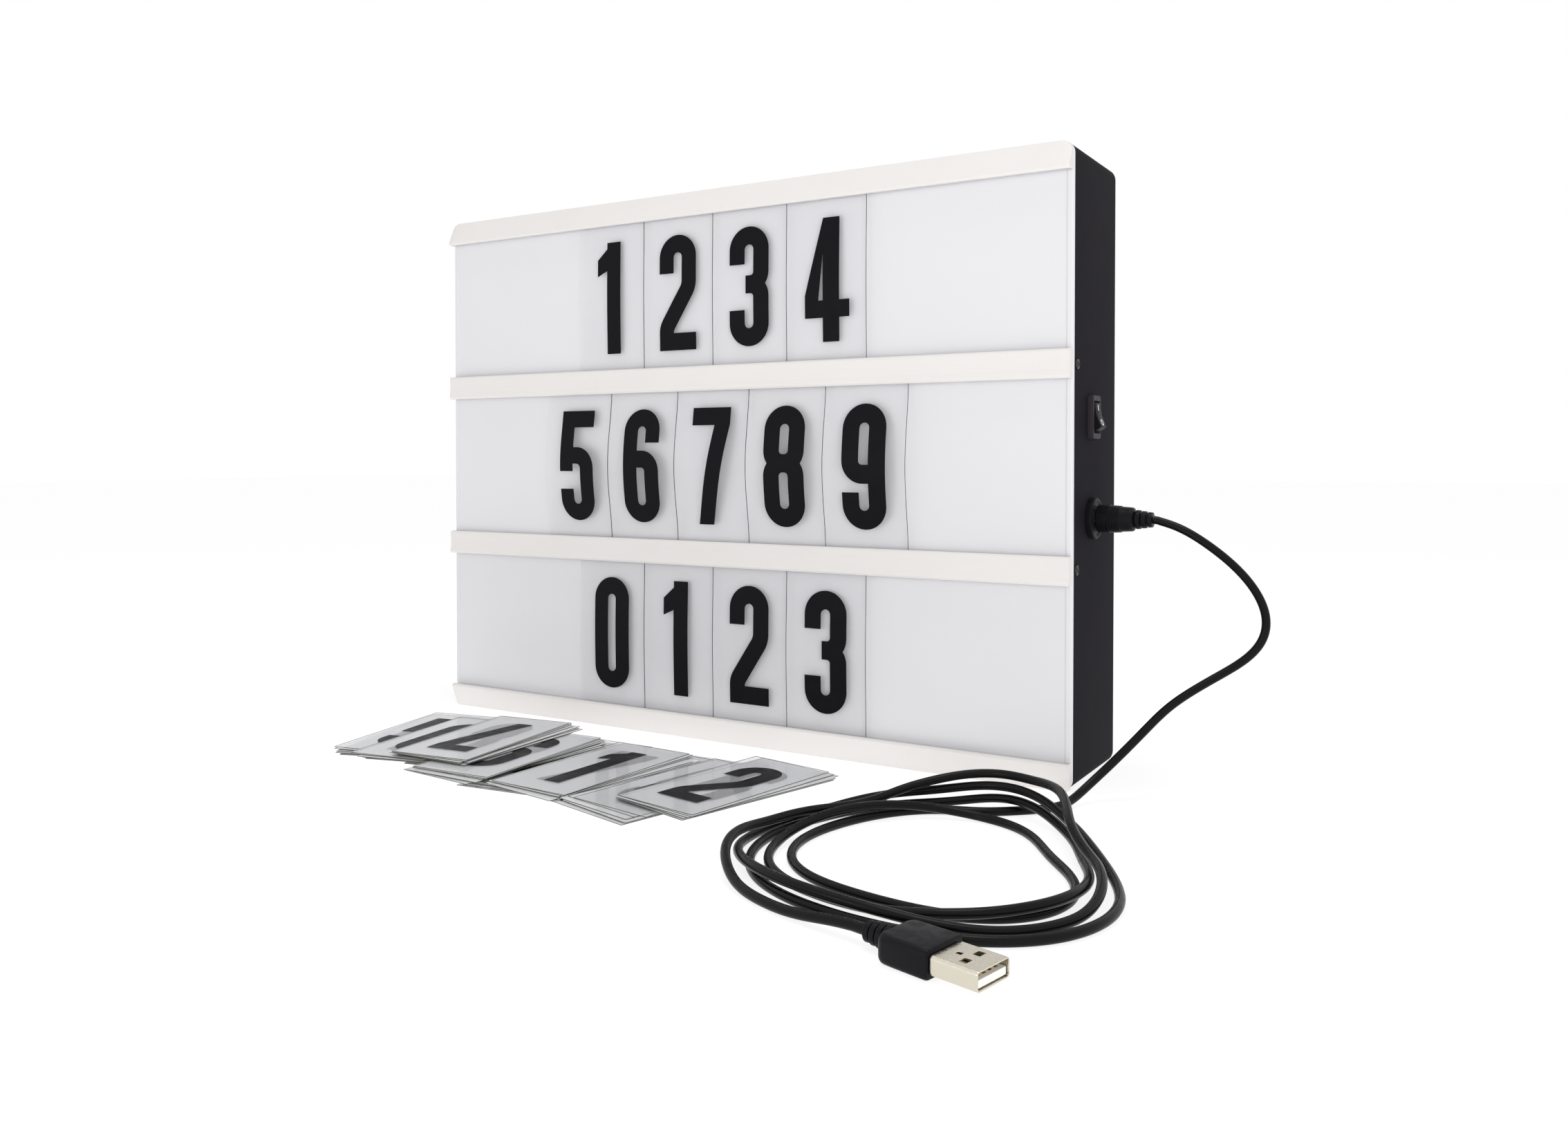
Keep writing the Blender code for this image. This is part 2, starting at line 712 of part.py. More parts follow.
def middle_rail_profile(z_low):
    """A T section: a web on the panel, and a face that overhangs the cards on both sides.

    The face is slightly hollow, and its lower lip stands out most.
    """
    z_high = z_low + RAIL_H
    return [
        (RAIL_BACK_Y, z_low + SLOT_DEPTH),
        (RAIL_BACK_Y, z_high - SLOT_DEPTH),
        (RAIL_SLOT_Y, z_high - SLOT_DEPTH),
        (RAIL_SLOT_Y, z_high),
        (RAIL_FRONT_Y + RAIL_STEP_BACK + RAIL_CHAMFER, z_high),
        (RAIL_FRONT_Y + RAIL_STEP_BACK, z_high - RAIL_CHAMFER),
        (RAIL_FRONT_Y + RAIL_HOLLOW, z_low + RAIL_H / 2),
        (RAIL_FRONT_Y, z_low + RAIL_CHAMFER),
        (RAIL_FRONT_Y + RAIL_CHAMFER, z_low),
        (RAIL_SLOT_Y, z_low),
        (RAIL_SLOT_Y, z_low + SLOT_DEPTH),
    ]


def build_rails():
    """Four extruded rails, nearly as wide as the box."""
    end = SIDE_X - RAIL_INSET
    row = WINDOW_H + RAIL_H
    profiles = {
        "bottom_rail": end_rail_profile(0, 1),
        "lower_rail": middle_rail_profile(row),
        "upper_rail": middle_rail_profile(2 * row),
        "top_rail": end_rail_profile(BOX_H, -1),
    }
    rails = {name: prism(name, line, "X", -end, end, WHITE_RAIL) for name, line in profiles.items()}
    outline = rounded((0, BOX_H / 2), 2 * end, BOX_H, CORNER_R)
    ends = (RAIL_FRONT_Y - OVERRUN, FRONT_Y + OVERRUN)
    keep = prism("keep_rounded_corners", outline, "Y", *ends, WHITE_RAIL)
    combine(rails["top_rail"], keep, "INTERSECT")
    combine(rails["bottom_rail"], keep, "INTERSECT")
    return rails


# Cards


def card_profile(z_low, bow):
    """A thin strip on edge that bows out at its middle, as a strip held at both ends does."""
    shares = [i / CARD_STEPS for i in range(CARD_STEPS + 1)]
    bend = [bow * math.sin(math.pi * share) ** 2 for share in shares]
    back = [(CARD_Y + CARD_T / 2 - b, z_low + share * CARD_H) for share, b in zip(shares, bend)]
    front = [(CARD_Y - CARD_T / 2 - b, z_low + share * CARD_H) for share, b in zip(shares, bend)]
    return back + front[::-1]


def build_cards():
    """Cards side by side in each window, their ends held in the rails' slots."""
    for row, (word, count, bow) in enumerate(reversed(CARD_ROWS)):
        z_low = RAIL_H + row * (WINDOW_H + RAIL_H) - CARD_ENGAGE
        for number in range(1, count + 1):
            x = CARD_ROW_SHIFT + (number - 1 - count / 2) * CARD_PITCH + GAP / 2
            profile = card_profile(z_low, bow)
            card = prism(f"{word}_card_{number}", profile, "X", x, x + CARD_W, CLEAR_CARD)
            set_origin(card, (x, CARD_Y, z_low))


# Side screws


def build_screws():
    """Pan heads with a cross slot. Each shank runs through the casing into the panel's boss."""
    for name, side, z in screw_places():
        seat = (side * (SIDE_X + GAP), SCREW_Y, z)
        profile = [
            (0, SCREW_HEAD_H),
            (SCREW_HEAD_R * 0.6, SCREW_HEAD_H * 0.92),
            (SCREW_HEAD_R * 0.9, SCREW_HEAD_H * 0.6),
            (SCREW_HEAD_R, 0),
            (SCREW_SHANK_R, 0),
            (SCREW_SHANK_R, SCREW_SHANK_R - SCREW_LENGTH),
            (0, -SCREW_LENGTH),
        ]
        screw = turned(name, profile, seat, (side, 0, 0), 12, SCREW_STEEL)
        face = seat[0] + side * SCREW_HEAD_H
        xs = sorted((face - side * SCREW_SLOT_DEPTH, face + side * OVERRUN))
        reach = SCREW_HEAD_R * 0.6
        half_slot = SCREW_SLOT_W / 2
        for arm, half_y, half_z in (("across", reach, half_slot), ("down", half_slot, reach)):
            low = (xs[0], SCREW_Y - half_y, z - half_z)
            high = (xs[1], SCREW_Y + half_y, z + half_z)
            cut(screw, box(f"cut_{name}_{arm}", low, high, SCREW_STEEL))


# Rocker switch


def build_switch():
    """A bezel with a snap-in body behind it, holed for the rocker and its pivots."""
    outline = rounded((SWITCH_Y, SWITCH_Z), BEZEL_W, BEZEL_H, BEZEL_R, 3)
    bm = prism_mesh(outline, "X", SIDE_X + GAP, BEZEL_FACE_X)
    bevel_edges(bm, lambda e: lies_at(e, 0, BEZEL_FACE_X), BEZEL_EDGE, 1)
    housing = to_object("switch_housing", bm, SWITCH_BLACK)
    body = box(
        "add_switch_body",
        (SIDE_X - SWITCH_DEPTH, SWITCH_Y - SWITCH_BODY_W / 2, SWITCH_Z - SWITCH_BODY_H / 2),
        (SIDE_X + GAP + BEZEL_T / 2, SWITCH_Y + SWITCH_BODY_W / 2, SWITCH_Z + SWITCH_BODY_H / 2),
        SWITCH_BLACK,
    )
    fuse(housing, body)
    for side in (-1, 1):
        z = SWITCH_Z + side * TERMINAL_SPACING / 2
        tab = box(
            f"add_terminal_{side}",
            (SIDE_X - SWITCH_DEPTH - TERMINAL_L, SWITCH_Y - TERMINAL_W / 2, z - TERMINAL_T / 2),
            (SIDE_X - SWITCH_DEPTH + OVERRUN, SWITCH_Y + TERMINAL_W / 2, z + TERMINAL_T / 2),
            NICKEL,
        )
        fuse(housing, tab)
    deepest = ROCKER_R * math.sin(math.radians(ROCKER_TILT_DEGREES - ROCKER_FOOT_DEGREES))
    pocket = box(
        "cut_rocker_pocket",
        (PIVOT_X - deepest - 2 * GAP, SWITCH_Y - POCKET_W / 2, SWITCH_Z - POCKET_H / 2),
        (BEZEL_FACE_X + OVERRUN, SWITCH_Y + POCKET_W / 2, SWITCH_Z + POCKET_H / 2),
        SWITCH_BLACK,
    )
    cut(housing, pocket)
    for side in (-1, 1):
        near = SWITCH_Y + side * (POCKET_W / 2 - GAP)
        far = SWITCH_Y + side * (POCKET_W / 2 + PIVOT_REACH)
        outline = disc((PIVOT_X, SWITCH_Z), PIVOT_R + GAP, 12)
        cut(housing, prism(f"cut_pivot_{side}", outline, "Y", *sorted((near, far)), SWITCH_BLACK))


def build_rocker():
    """A sector about the pivot, so that its ends keep their clearance, with a shallow V on top.

    The profile is drawn level, then tilted to the rest position, with its upper end pressed in.
    """
    upper = arc((0, 0), ROCKER_R, 90 - ROCKER_END_DEGREES, 90 - ROCKER_FOOT_DEGREES, 6)
    lower = arc((0, 0), ROCKER_R, ROCKER_FOOT_DEGREES - 90, ROCKER_END_DEGREES - 90, 6)
    level = [(ROCKER_VALLEY, 0)] + upper + lower
    half_w = POCKET_W / 2 - GAP
    bm = prism_mesh(level, "Y", -half_w, half_w)
    rocker = to_object("rocker", bm, SWITCH_BLACK)
    for side in (-1, 1):
        ends = sorted((side * (half_w - GAP), side * (half_w + PIVOT_REACH)))
        outline = disc((0, 0), PIVOT_R, 12)
        pin = prism(f"add_rocker_pin_{side}", outline, "Y", *ends, SWITCH_BLACK)
        pin.parent = rocker
        fuse(rocker, pin)
    rocker.location = (PIVOT_X, SWITCH_Y, SWITCH_Z)
    rocker.rotation_euler = (0, math.radians(-ROCKER_TILT_DEGREES), 0)


# Power socket


def build_jack():
    """A round socket held by a hex nut behind the casing wall, with a centre pin in its bore."""
    bore_end = JACK_FACE_X - JACK_BORE_DEPTH
    inner_end = JACK_FACE_X - JACK_LENGTH
    profile = [
        (0, JACK_FACE_X),
        (JACK_FLANGE_R - JACK_CHAMFER, JACK_FACE_X),
        (JACK_FLANGE_R, JACK_FACE_X - JACK_CHAMFER),
        (JACK_FLANGE_R, SIDE_X + GAP),
        (JACK_BARREL_R, SIDE_X + GAP),
        (JACK_BARREL_R, inner_end),
        (0, inner_end),
    ]
    middle = (0, JACK_Y, JACK_Z)
    socket = turned("dc_socket", profile, middle, (1, 0, 0), 24, SWITCH_BLACK)
    outline = disc((JACK_Y, JACK_Z), JACK_BORE_R, 16)
    bore = prism("cut_socket_bore", outline, "X", bore_end, JACK_FACE_X + OVERRUN, SWITCH_BLACK)
    cut(socket, bore)
    for side in (-1, 1):
        y = JACK_Y + side * JACK_BARREL_R / 2
        tab = box(
            f"add_socket_tab_{side}",
            (inner_end - JACK_TAB_L, y - JACK_TAB_T / 2, JACK_Z - JACK_TAB_W / 2),
            (inner_end + JACK_TAB_T, y + JACK_TAB_T / 2, JACK_Z + JACK_TAB_W / 2),
            NICKEL,
        )
        fuse(socket, tab)
    pin_end = JACK_FACE_X - JACK_PIN_RECESS
    pin = [
        (0, pin_end),
        (JACK_PIN_R * 0.7, pin_end - JACK_PIN_R * 0.3),
        (JACK_PIN_R, pin_end - JACK_PIN_R),
        (JACK_PIN_R, bore_end + GAP),
        (0, bore_end + GAP),
    ]
    turned("dc_socket_pin", pin, middle, (1, 0, 0), 12, NICKEL)
    nut_r = NUT_ACROSS_FLATS / 2 / math.cos(math.radians(30))
    near = SIDE_X - WALL - GAP
    nut = prism("dc_socket_nut", disc((JACK_Y, JACK_Z), nut_r, 6), "X", near - NUT_T, near, NICKEL)
    outline = disc((JACK_Y, JACK_Z), JACK_BARREL_R + GAP, 24)
    cut(nut, prism("cut_nut", outline, "X", near - NUT_T - OVERRUN, near + OVERRUN, NICKEL))


# Battery door and contacts


def build_door():
    """A flush cover that tilts out on two tongues at its lower edge, with a thumb latch above."""
    outline = rounded((0, BAY_Z), SEAT_W - 2 * GAP, SEAT_H - 2 * GAP, DOOR_CORNER_R, 3)
    door = prism("battery_door", outline, "Y", BACK_Y - DOOR_T, BACK_Y, BLACK_ABS)
    low_z = SEAT_LOW_Z + GAP
    for side in (-1, 1):
        x = side * TONGUE_SPREAD / 2
        tongue = box(
            f"add_tongue_{side}",
            (x - TONGUE_W / 2, BACK_Y - DOOR_T, low_z - TONGUE_L),
            (x + TONGUE_W / 2, BACK_Y - SKIN_T - GAP, low_z + DOOR_CORNER_R),
            BLACK_ABS,
        )
        tongue.parent = door
        fuse(door, tongue)
    high_z = SEAT_HIGH_Z - GAP
    latch = box(
        "add_latch",
        (-LATCH_W / 2, BACK_Y - DOOR_T, high_z - DOOR_CORNER_R),
        (LATCH_W / 2, BACK_Y - SKIN_T, SEAT_HIGH_Z + LATCH_H - GAP),
        BLACK_ABS,
    )
    latch.parent = door
    fuse(door, latch)
    for number in range(GRIP_GROOVES):
        z = high_z - GRIP_PITCH * (number + 2)
        groove = box(
            f"cut_grip_{number}",
            (-GRIP_LENGTH / 2, BACK_Y - GRIP_DROP, z - GRIP_W / 2),
            (GRIP_LENGTH / 2, BACK_Y + OVERRUN, z + GRIP_W / 2),
            BLACK_ABS,
        )
        groove.parent = door
        cut(door, groove)
    hinge = (0, BACK_Y, low_z)
    for piece in (door, *door.children):
        set_origin(piece, hinge)
    for child in door.children:
        child.location = (0, 0, 0)


def contact_cone(name, x, z, up):
    """A conical spring as a turned solid: it narrows in steps, one for each turn of the wire."""
    profile = [(0, 0)]
    for turn in range(CONE_TURNS):
        share = turn / (CONE_TURNS - 1)
        radius = CONE_FOOT_R + (CONE_TIP_R - CONE_FOOT_R) * share
        start = CONE_H * turn / CONE_TURNS
        rise = CONE_H / CONE_TURNS
        profile += [
            (radius - rise / 4, start),
            (radius, start + rise / 3),
            (radius - rise / 4, start + rise * 0.9),
        ]
    profile.append((0, profile[-1][1]))
    return turned(name, profile, (x, CELL_Y, z), (0, 0, up), 10, NICKEL)


def build_contacts():
    """Three pairs of cells in series: two plates at the foot of the bay and two at its head.

    Each plate lists its first and last cell, and which of its cells press on a spring.
    """
    plates = (
        ("contact_negative", 1, 2, (1, 2), 1),
        ("contact_lower_link", 3, 6, (5, 6), 1),
        ("contact_upper_link", 1, 4, (3, 4), -1),
        ("contact_positive", 5, 6, (), -1),
    )
    for name, first, last, sprung, up in plates:
        wall = BAY_Z - up * (BAY_H / 2 - GAP)
        zs = sorted((wall, wall + up * PLATE_T))
        x_low = (first - 1 - CELL_COUNT / 2) * CELL_PITCH + PLATE_SIDE
        x_high = (last - CELL_COUNT / 2) * CELL_PITCH - PLATE_SIDE
        low = (x_low, CELL_Y - PLATE_W / 2, zs[0])
        plate = box(name, low, (x_high, CELL_Y + PLATE_W / 2, zs[1]), NICKEL)
        face = wall + up * PLATE_T / 2
        for cell in range(first, last + 1):
            x = (cell - (CELL_COUNT + 1) / 2) * CELL_PITCH
            if cell in sprung:
                fuse(plate, contact_cone(f"add_cone_{cell}_{up}", x, face, up))
            else:
                top = PLATE_T / 2 + PAD_H
                pad = [(0, 0), (PAD_R, 0), (PAD_R, PLATE_T / 2), (PAD_R / 2, top), (0, top)]
                spot = (x, CELL_Y, face)
                fuse(plate, turned(f"add_pad_{cell}_{up}", pad, spot, (0, 0, up), 10, NICKEL))


# Light and driver boards


def build_light_board():
    """A white tray on the well's floor, with three strips of light diodes on its face."""
    low = (-REFLECTOR_HALF_W, REFLECTOR_MARGIN)
    high = (REFLECTOR_HALF_W, BOX_H - REFLECTOR_MARGIN)
    rim_y = REFLECTOR_FRONT_Y - REFLECTOR_RIM
    tray = prism_mesh(box_outline(low, high), "Y", rim_y, REFLECTOR_BACK_Y)
    reflector = to_object("reflector_tray", tray, WHITE_BOARD)
    bm = bmesh.new()
    lean = REFLECTOR_RIM / 2
    inner_low = (low[0] + REFLECTOR_T + lean, low[1] + REFLECTOR_T + lean)
    inner_high = (high[0] - REFLECTOR_T - lean, high[1] - REFLECTOR_T - lean)
    mouth_y = rim_y - OVERRUN
    reach = lean * (REFLECTOR_RIM + OVERRUN) / REFLECTOR_RIM
    floor_line = box_outline(inner_low, inner_high)
    floor = [bm.verts.new((x, REFLECTOR_FRONT_Y, z)) for x, z in floor_line]
    mouth_low = (inner_low[0] - reach, inner_low[1] - reach)
    mouth_high = (inner_high[0] + reach, inner_high[1] + reach)
    mouth = [bm.verts.new((x, mouth_y, z)) for x, z in box_outline(mouth_low, mouth_high)]
    loops = [bm.faces.new(floor), bm.faces.new(mouth)]
    bmesh.ops.bridge_loops(bm, edges=[e for f in loops for e in f.edges])
    cut(reflector, to_object("cut_tray_hollow", bm, WHITE_BOARD))
    row = WINDOW_H + RAIL_H
    strip_back = REFLECTOR_FRONT_Y - GAP
    strip_front = strip_back - STRIP_T
    half = REFLECTOR_HALF_W - REFLECTOR_T - REFLECTOR_RIM - STRIP_INSET
    for number, word in enumerate(("lower", "middle", "upper")):
        z = RAIL_H + WINDOW_H / 2 + number * row
        name = f"{word}_light_strip"
        low = (-half, strip_front, z - STRIP_W / 2)
        strip = box(name, low, (half, strip_back, z + STRIP_W / 2), WHITE_BOARD)
        for led in range(LED_COUNT):
            x = half * (2 * led + 1 - LED_COUNT) / LED_COUNT
            chip = box(
                f"add_{word}_light_{led}",
                (x - LED_W / 2, strip_front - LED_T, z - LED_H / 2),
                (x + LED_W / 2, strip_back - STRIP_T / 2, z + LED_H / 2),
                WHITE_BOARD,
            )
            fuse(strip, chip)


def build_driver_board():
    """A small board on two bosses of the back wall, with a coil, a chip and a wire block."""
    low = (BOARD_X - BOARD_W / 2, BOARD_BACK_Y - BOARD_T, BOARD_Z - BOARD_H / 2)
    high = (BOARD_X + BOARD_W / 2, BOARD_BACK_Y, BOARD_Z + BOARD_H / 2)
    board = box("driver_board", low, high, GREEN_BOARD)
    face = BOARD_BACK_Y - BOARD_T
    coil_x = BOARD_X - BOARD_W / 4
    outline = disc((coil_x, BOARD_Z), COIL_R, 12)
    ends = (face - COIL_H, face + BOARD_T / 2)
    fuse(board, prism("add_board_coil", outline, "Y", *ends, GREEN_BOARD))
    chip_x = BOARD_X + BOARD_W / 6
    chip = box(
        "add_board_chip",
        (chip_x - CHIP_W / 2, face - CHIP_T, BOARD_Z - CHIP_W / 2),
        (chip_x + CHIP_W / 2, face + BOARD_T / 2, BOARD_Z + CHIP_W / 2),
        GREEN_BOARD,
    )
    fuse(board, chip)
    block = box(
        "add_board_block",
        (BOARD_X + BOARD_W / 2 - CHIP_W, face - COIL_H, BOARD_Z - BOARD_H / 3),
        (BOARD_X + BOARD_W / 2 - GAP, face + BOARD_T / 2, BOARD_Z + BOARD_H / 3),
        GREEN_BOARD,
    )
    fuse(board, block)


def build_wires():
    """The inside wires, each from one terminal to the next along the right-hand end of the box."""
    switch_tip = SIDE_X - SWITCH_DEPTH - TERMINAL_L - GAP
    lower_tab_z = SWITCH_Z - TERMINAL_SPACING / 2
    upper_tab_z = SWITCH_Z + TERMINAL_SPACING / 2
    socket_tip = JACK_FACE_X - JACK_LENGTH - JACK_TAB_L - GAP
    front_tab_y = JACK_Y - JACK_BARREL_R / 2
    back_tab_y = JACK_Y + JACK_BARREL_R / 2
    bend = TERMINAL_L / 2
    block_x = BOARD_X + BOARD_W / 2 + GAP
    block_y = BOARD_BACK_Y - BOARD_T - COIL_H / 2
    inner_x = REFLECTOR_HALF_W + bend
    routes = {
        "wire_socket_to_switch": (
            (socket_tip, front_tab_y, JACK_Z),
            (socket_tip - bend, front_tab_y, JACK_Z + bend),
            (switch_tip - bend, SWITCH_Y, lower_tab_z - 2 * bend),
            (switch_tip - bend / 2, SWITCH_Y, lower_tab_z - bend / 3),
            (switch_tip, SWITCH_Y, lower_tab_z),
        ),
        "wire_switch_to_board": (
            (switch_tip, SWITCH_Y, upper_tab_z),
            (switch_tip - bend, SWITCH_Y, upper_tab_z + bend),
            (inner_x, (SWITCH_Y + block_y) / 2, BOARD_Z),
            (block_x + 2 * bend, block_y, BOARD_Z + BOARD_H / 6),
            (block_x, block_y, BOARD_Z + BOARD_H / 6),
        ),
        "wire_socket_to_board": (
            (socket_tip, back_tab_y, JACK_Z),
            (socket_tip - bend, back_tab_y + bend / 2, JACK_Z + bend / 2),
            (inner_x, block_y - bend, (JACK_Z + BOARD_Z) / 2),
            (block_x + 2 * bend, block_y, BOARD_Z - BOARD_H / 6 - bend / 2),
            (block_x, block_y, BOARD_Z - BOARD_H / 6),
        ),
    }
    for name, route in routes.items():
        points = evenly(smooth_curve(route, 12), 4 * WIRE_R)
        tube(name, points, WIRE_R, 1, WIRE_RED if "switch" in name else WIRE_BLACK)


# Power lead


def ribbed_relief(start, length, ribs, root, tail, neck):
    """Profile points of a strain relief: ribs that narrow towards the cord, with necks between."""
    points = []
    for rib in range(ribs):
        share = rib / (ribs - 1)
        radius = root + (tail - root) * share
        near = start + length * rib / ribs
        pitch = length / ribs
        points += [
            (neck, near),
            (neck, near + pitch * 0.28),
            (radius, near + pitch * 0.36),
            (radius, near + pitch * 0.94),
        ]
    points.append((neck, start + length * (1 - 0.02)))
    points.append((neck, start + length))
    return points


def build_dc_plug():
    """The barrel in the socket, and the moulded grip with fine rings and a ribbed strain relief."""
    tip = GRIP_START_X - GAP - BARREL_LENGTH
    middle = (0, JACK_Y, JACK_Z)
    barrel = [
        (0, tip),
        (BARREL_R - GAP / 2, tip),
        (BARREL_R, tip + GAP / 2),
        (BARREL_R, GRIP_START_X - GAP),
        (0, GRIP_START_X - GAP),
    ]
    plug = turned("dc_plug_barrel", barrel, middle, (1, 0, 0), 16, NICKEL)
    bore_end = GRIP_START_X - BARREL_R / 2
    outline = disc((JACK_Y, JACK_Z), BARREL_BORE_R, 12)
    cut(plug, prism("cut_barrel_bore", outline, "X", tip - OVERRUN, bore_end, NICKEL))
    body_end = GRIP_START_X + GRIP_BODY_L
    edge = RING_PITCH / 2
    rings_start = GRIP_START_X + GRIP_BODY_L / 2 - RING_COUNT * RING_PITCH / 2
    slope = (GRIP_TAIL_R - GRIP_ROOT_R) / GRIP_BODY_L
    profile = [
        (0, GRIP_START_X),
        (GRIP_ROOT_R - edge, GRIP_START_X),
        (GRIP_ROOT_R, GRIP_START_X + edge),
    ]
    for ring in range(RING_COUNT):
        start = rings_start + ring * RING_PITCH
        radius = GRIP_ROOT_R + slope * (start - GRIP_START_X)
        profile += [
            (radius, start),
            (radius + RING_RISE, start + RING_PITCH / 4),
            (radius + RING_RISE, start + RING_PITCH / 2),
            (radius, start + RING_PITCH * 3 / 4),
        ]
    profile += [(GRIP_TAIL_R, body_end - edge), (GRIP_TAIL_R - edge, body_end)]
    radii = (RELIEF_ROOT_R, RELIEF_TAIL_R, RELIEF_NECK_R)
    profile += ribbed_relief(body_end, RELIEF_L, RELIEF_RIBS, *radii) + [(0, GRIP_END_X)]
    turned("dc_plug_grip", profile, middle, (1, 0, 0), 16, CORD_BLACK)


def build_usb_plug():
    """Made along its own +X from the strain relief's end, then laid on the surface and turned."""
    relief_end = 0
    body_start = relief_end + USB_RELIEF_L
    body_end = body_start + USB_BODY_L
    outline = rounded((0, 0), USB_BODY_W, USB_BODY_T, USB_BODY_R, 3)
    bm = prism_mesh(outline, "X", body_start, body_end)
    bevel_edges(bm, lambda e: lies_at(e, 0, body_start), 2 * USB_EDGE_R, 2)
    bevel_edges(bm, lambda e: lies_at(e, 0, body_end), USB_EDGE_R, 1)
    grip = to_object("usb_plug_grip", bm, CORD_BLACK)
    radii = (USB_RELIEF_ROOT_R, USB_RELIEF_TAIL_R, USB_RELIEF_NECK_R)
    ribs = ribbed_relief(0, USB_RELIEF_L, USB_RELIEF_RIBS, *radii)
    profile = [(0, -USB_EDGE_R), (USB_RELIEF_NECK_R, -USB_EDGE_R)] + ribs[1:] + [(0, USB_RELIEF_L)]
    relief = turned("add_usb_relief", profile, (body_start, 0, 0), (-1, 0, 0), 12, CORD_BLACK)
    relief.parent = grip
    fuse(grip, relief)
    shell_start = body_end + GAP
    shell_end = shell_start + USB_SHELL_L
    half_w = USB_SHELL_W / 2
    half_t = USB_SHELL_T / 2
    shell = box("usb_shell", (shell_start, -half_w, -half_t), (shell_end, half_w, half_t), NICKEL)
    mouth = box(
        "cut_usb_mouth",
        (shell_start + USB_SHELL_WALL, -half_w + USB_SHELL_WALL, -half_t + USB_SHELL_WALL),
        (shell_end + OVERRUN, half_w - USB_SHELL_WALL, half_t - USB_SHELL_WALL),
        NICKEL,
    )
    mouth.parent = shell
    cut(shell, mouth)
    for side in (-1, 1):
        y = side * USB_HOLE_SPREAD / 2
        hole = box(
            f"cut_usb_hole_{side}",
            (shell_end - USB_HOLE_BACK - USB_HOLE / 2, y - USB_HOLE / 2, half_t - USB_SHELL_WALL - GAP),
            (shell_end - USB_HOLE_BACK + USB_HOLE / 2, y + USB_HOLE / 2, half_t + OVERRUN),
            NICKEL,
        )
        hole.parent = shell
        cut(shell, hole)
    tongue_low = -half_t + USB_SHELL_WALL + GAP
    tongue_high = tongue_low + USB_TONGUE_T
    tongue_half_w = half_w - USB_SHELL_WALL - GAP
    tongue_start = shell_start + USB_SHELL_WALL + GAP
    tongue_end = shell_end - USB_SHELL_WALL
    tongue = box(
        "usb_tongue",
        (tongue_start, -tongue_half_w, tongue_low),
        (tongue_end, tongue_half_w, tongue_high),
        WHITE_BOARD,
    )
    for contact in range(USB_CONTACTS):
        y = (contact - (USB_CONTACTS - 1) / 2) * USB_CONTACT_PITCH
        strip = box(
            f"add_usb_contact_{contact}",
            (tongue_start + USB_CONTACT_W, y - USB_CONTACT_W / 2, tongue_high - USB_CONTACT_T),
            (tongue_end - USB_CONTACT_W, y + USB_CONTACT_W / 2, tongue_high + USB_CONTACT_T),
            NICKEL,
        )
        strip.parent = tongue
        fuse(tongue, strip)
    for piece in (grip, shell, tongue):
        piece.location = (USB_X, USB_Y, USB_Z)
        piece.rotation_euler = (0, 0, math.radians(USB_TURN_DEGREES))


def coil_plan():
    """Points of the coil seen from above: the growing radius, plus the waves, plus the pulls."""
    turned_by = LEAD_COIL_END_DEGREES - LEAD_COIL_START_DEGREES
    count = round(turned_by / 360 * LEAD_COIL_POINTS_PER_TURN)
    share = np.linspace(0, 1, count + 1)
    angle = np.radians(LEAD_COIL_START_DEGREES + turned_by * share)
    radius = LEAD_COIL_R + LEAD_COIL_GROWTH * share
    for per_turn, size, crest in LEAD_COIL_WAVES:
        radius = radius + size * np.cos(per_turn * angle - math.radians(crest))
    for degrees, size, reach in LEAD_COIL_PULLS:
        radius = radius + size * np.exp(-(((np.degrees(angle) - degrees) / reach) ** 2))
    return np.stack([LEAD_COIL_X + radius * np.cos(angle), LEAD_COIL_Y + radius * np.sin(angle)], 1)


def lie_down(plan, lifted, clearance):
    """Heights of a cord laid on a surface along a plan.

    Each point rests on the surface, or on an earlier stretch of the cord that it crosses. A
    crossing lifts its neighbourhood in one smooth hump. lifted holds the least height of each point.
    """
    along = lengths_along(plan)
    apart = np.linalg.norm(plan[:, None] - plan[None], axis=2)
    reach = 2 * CORD_R + clearance
    crosses = (apart < reach) & (along[:, None] - along[None] > 4 * reach)
    climb = np.where(crosses, np.sqrt(np.maximum(reach**2 - apart**2, 0)), 0)
    offset = np.abs(along[:, None] - along[None])
    hump = np.where(offset < HUMP_REACH, np.cos(0.5 * math.pi * offset / HUMP_REACH) ** 2, 0)
    height = lifted.copy()
    for _ in range(12):
        needed = np.where(crosses, height[None] + climb, CORD_R).max(axis=1)
        height = np.maximum(lifted, (CORD_R + (needed[None] - CORD_R) * hump).max(axis=1))
    return height


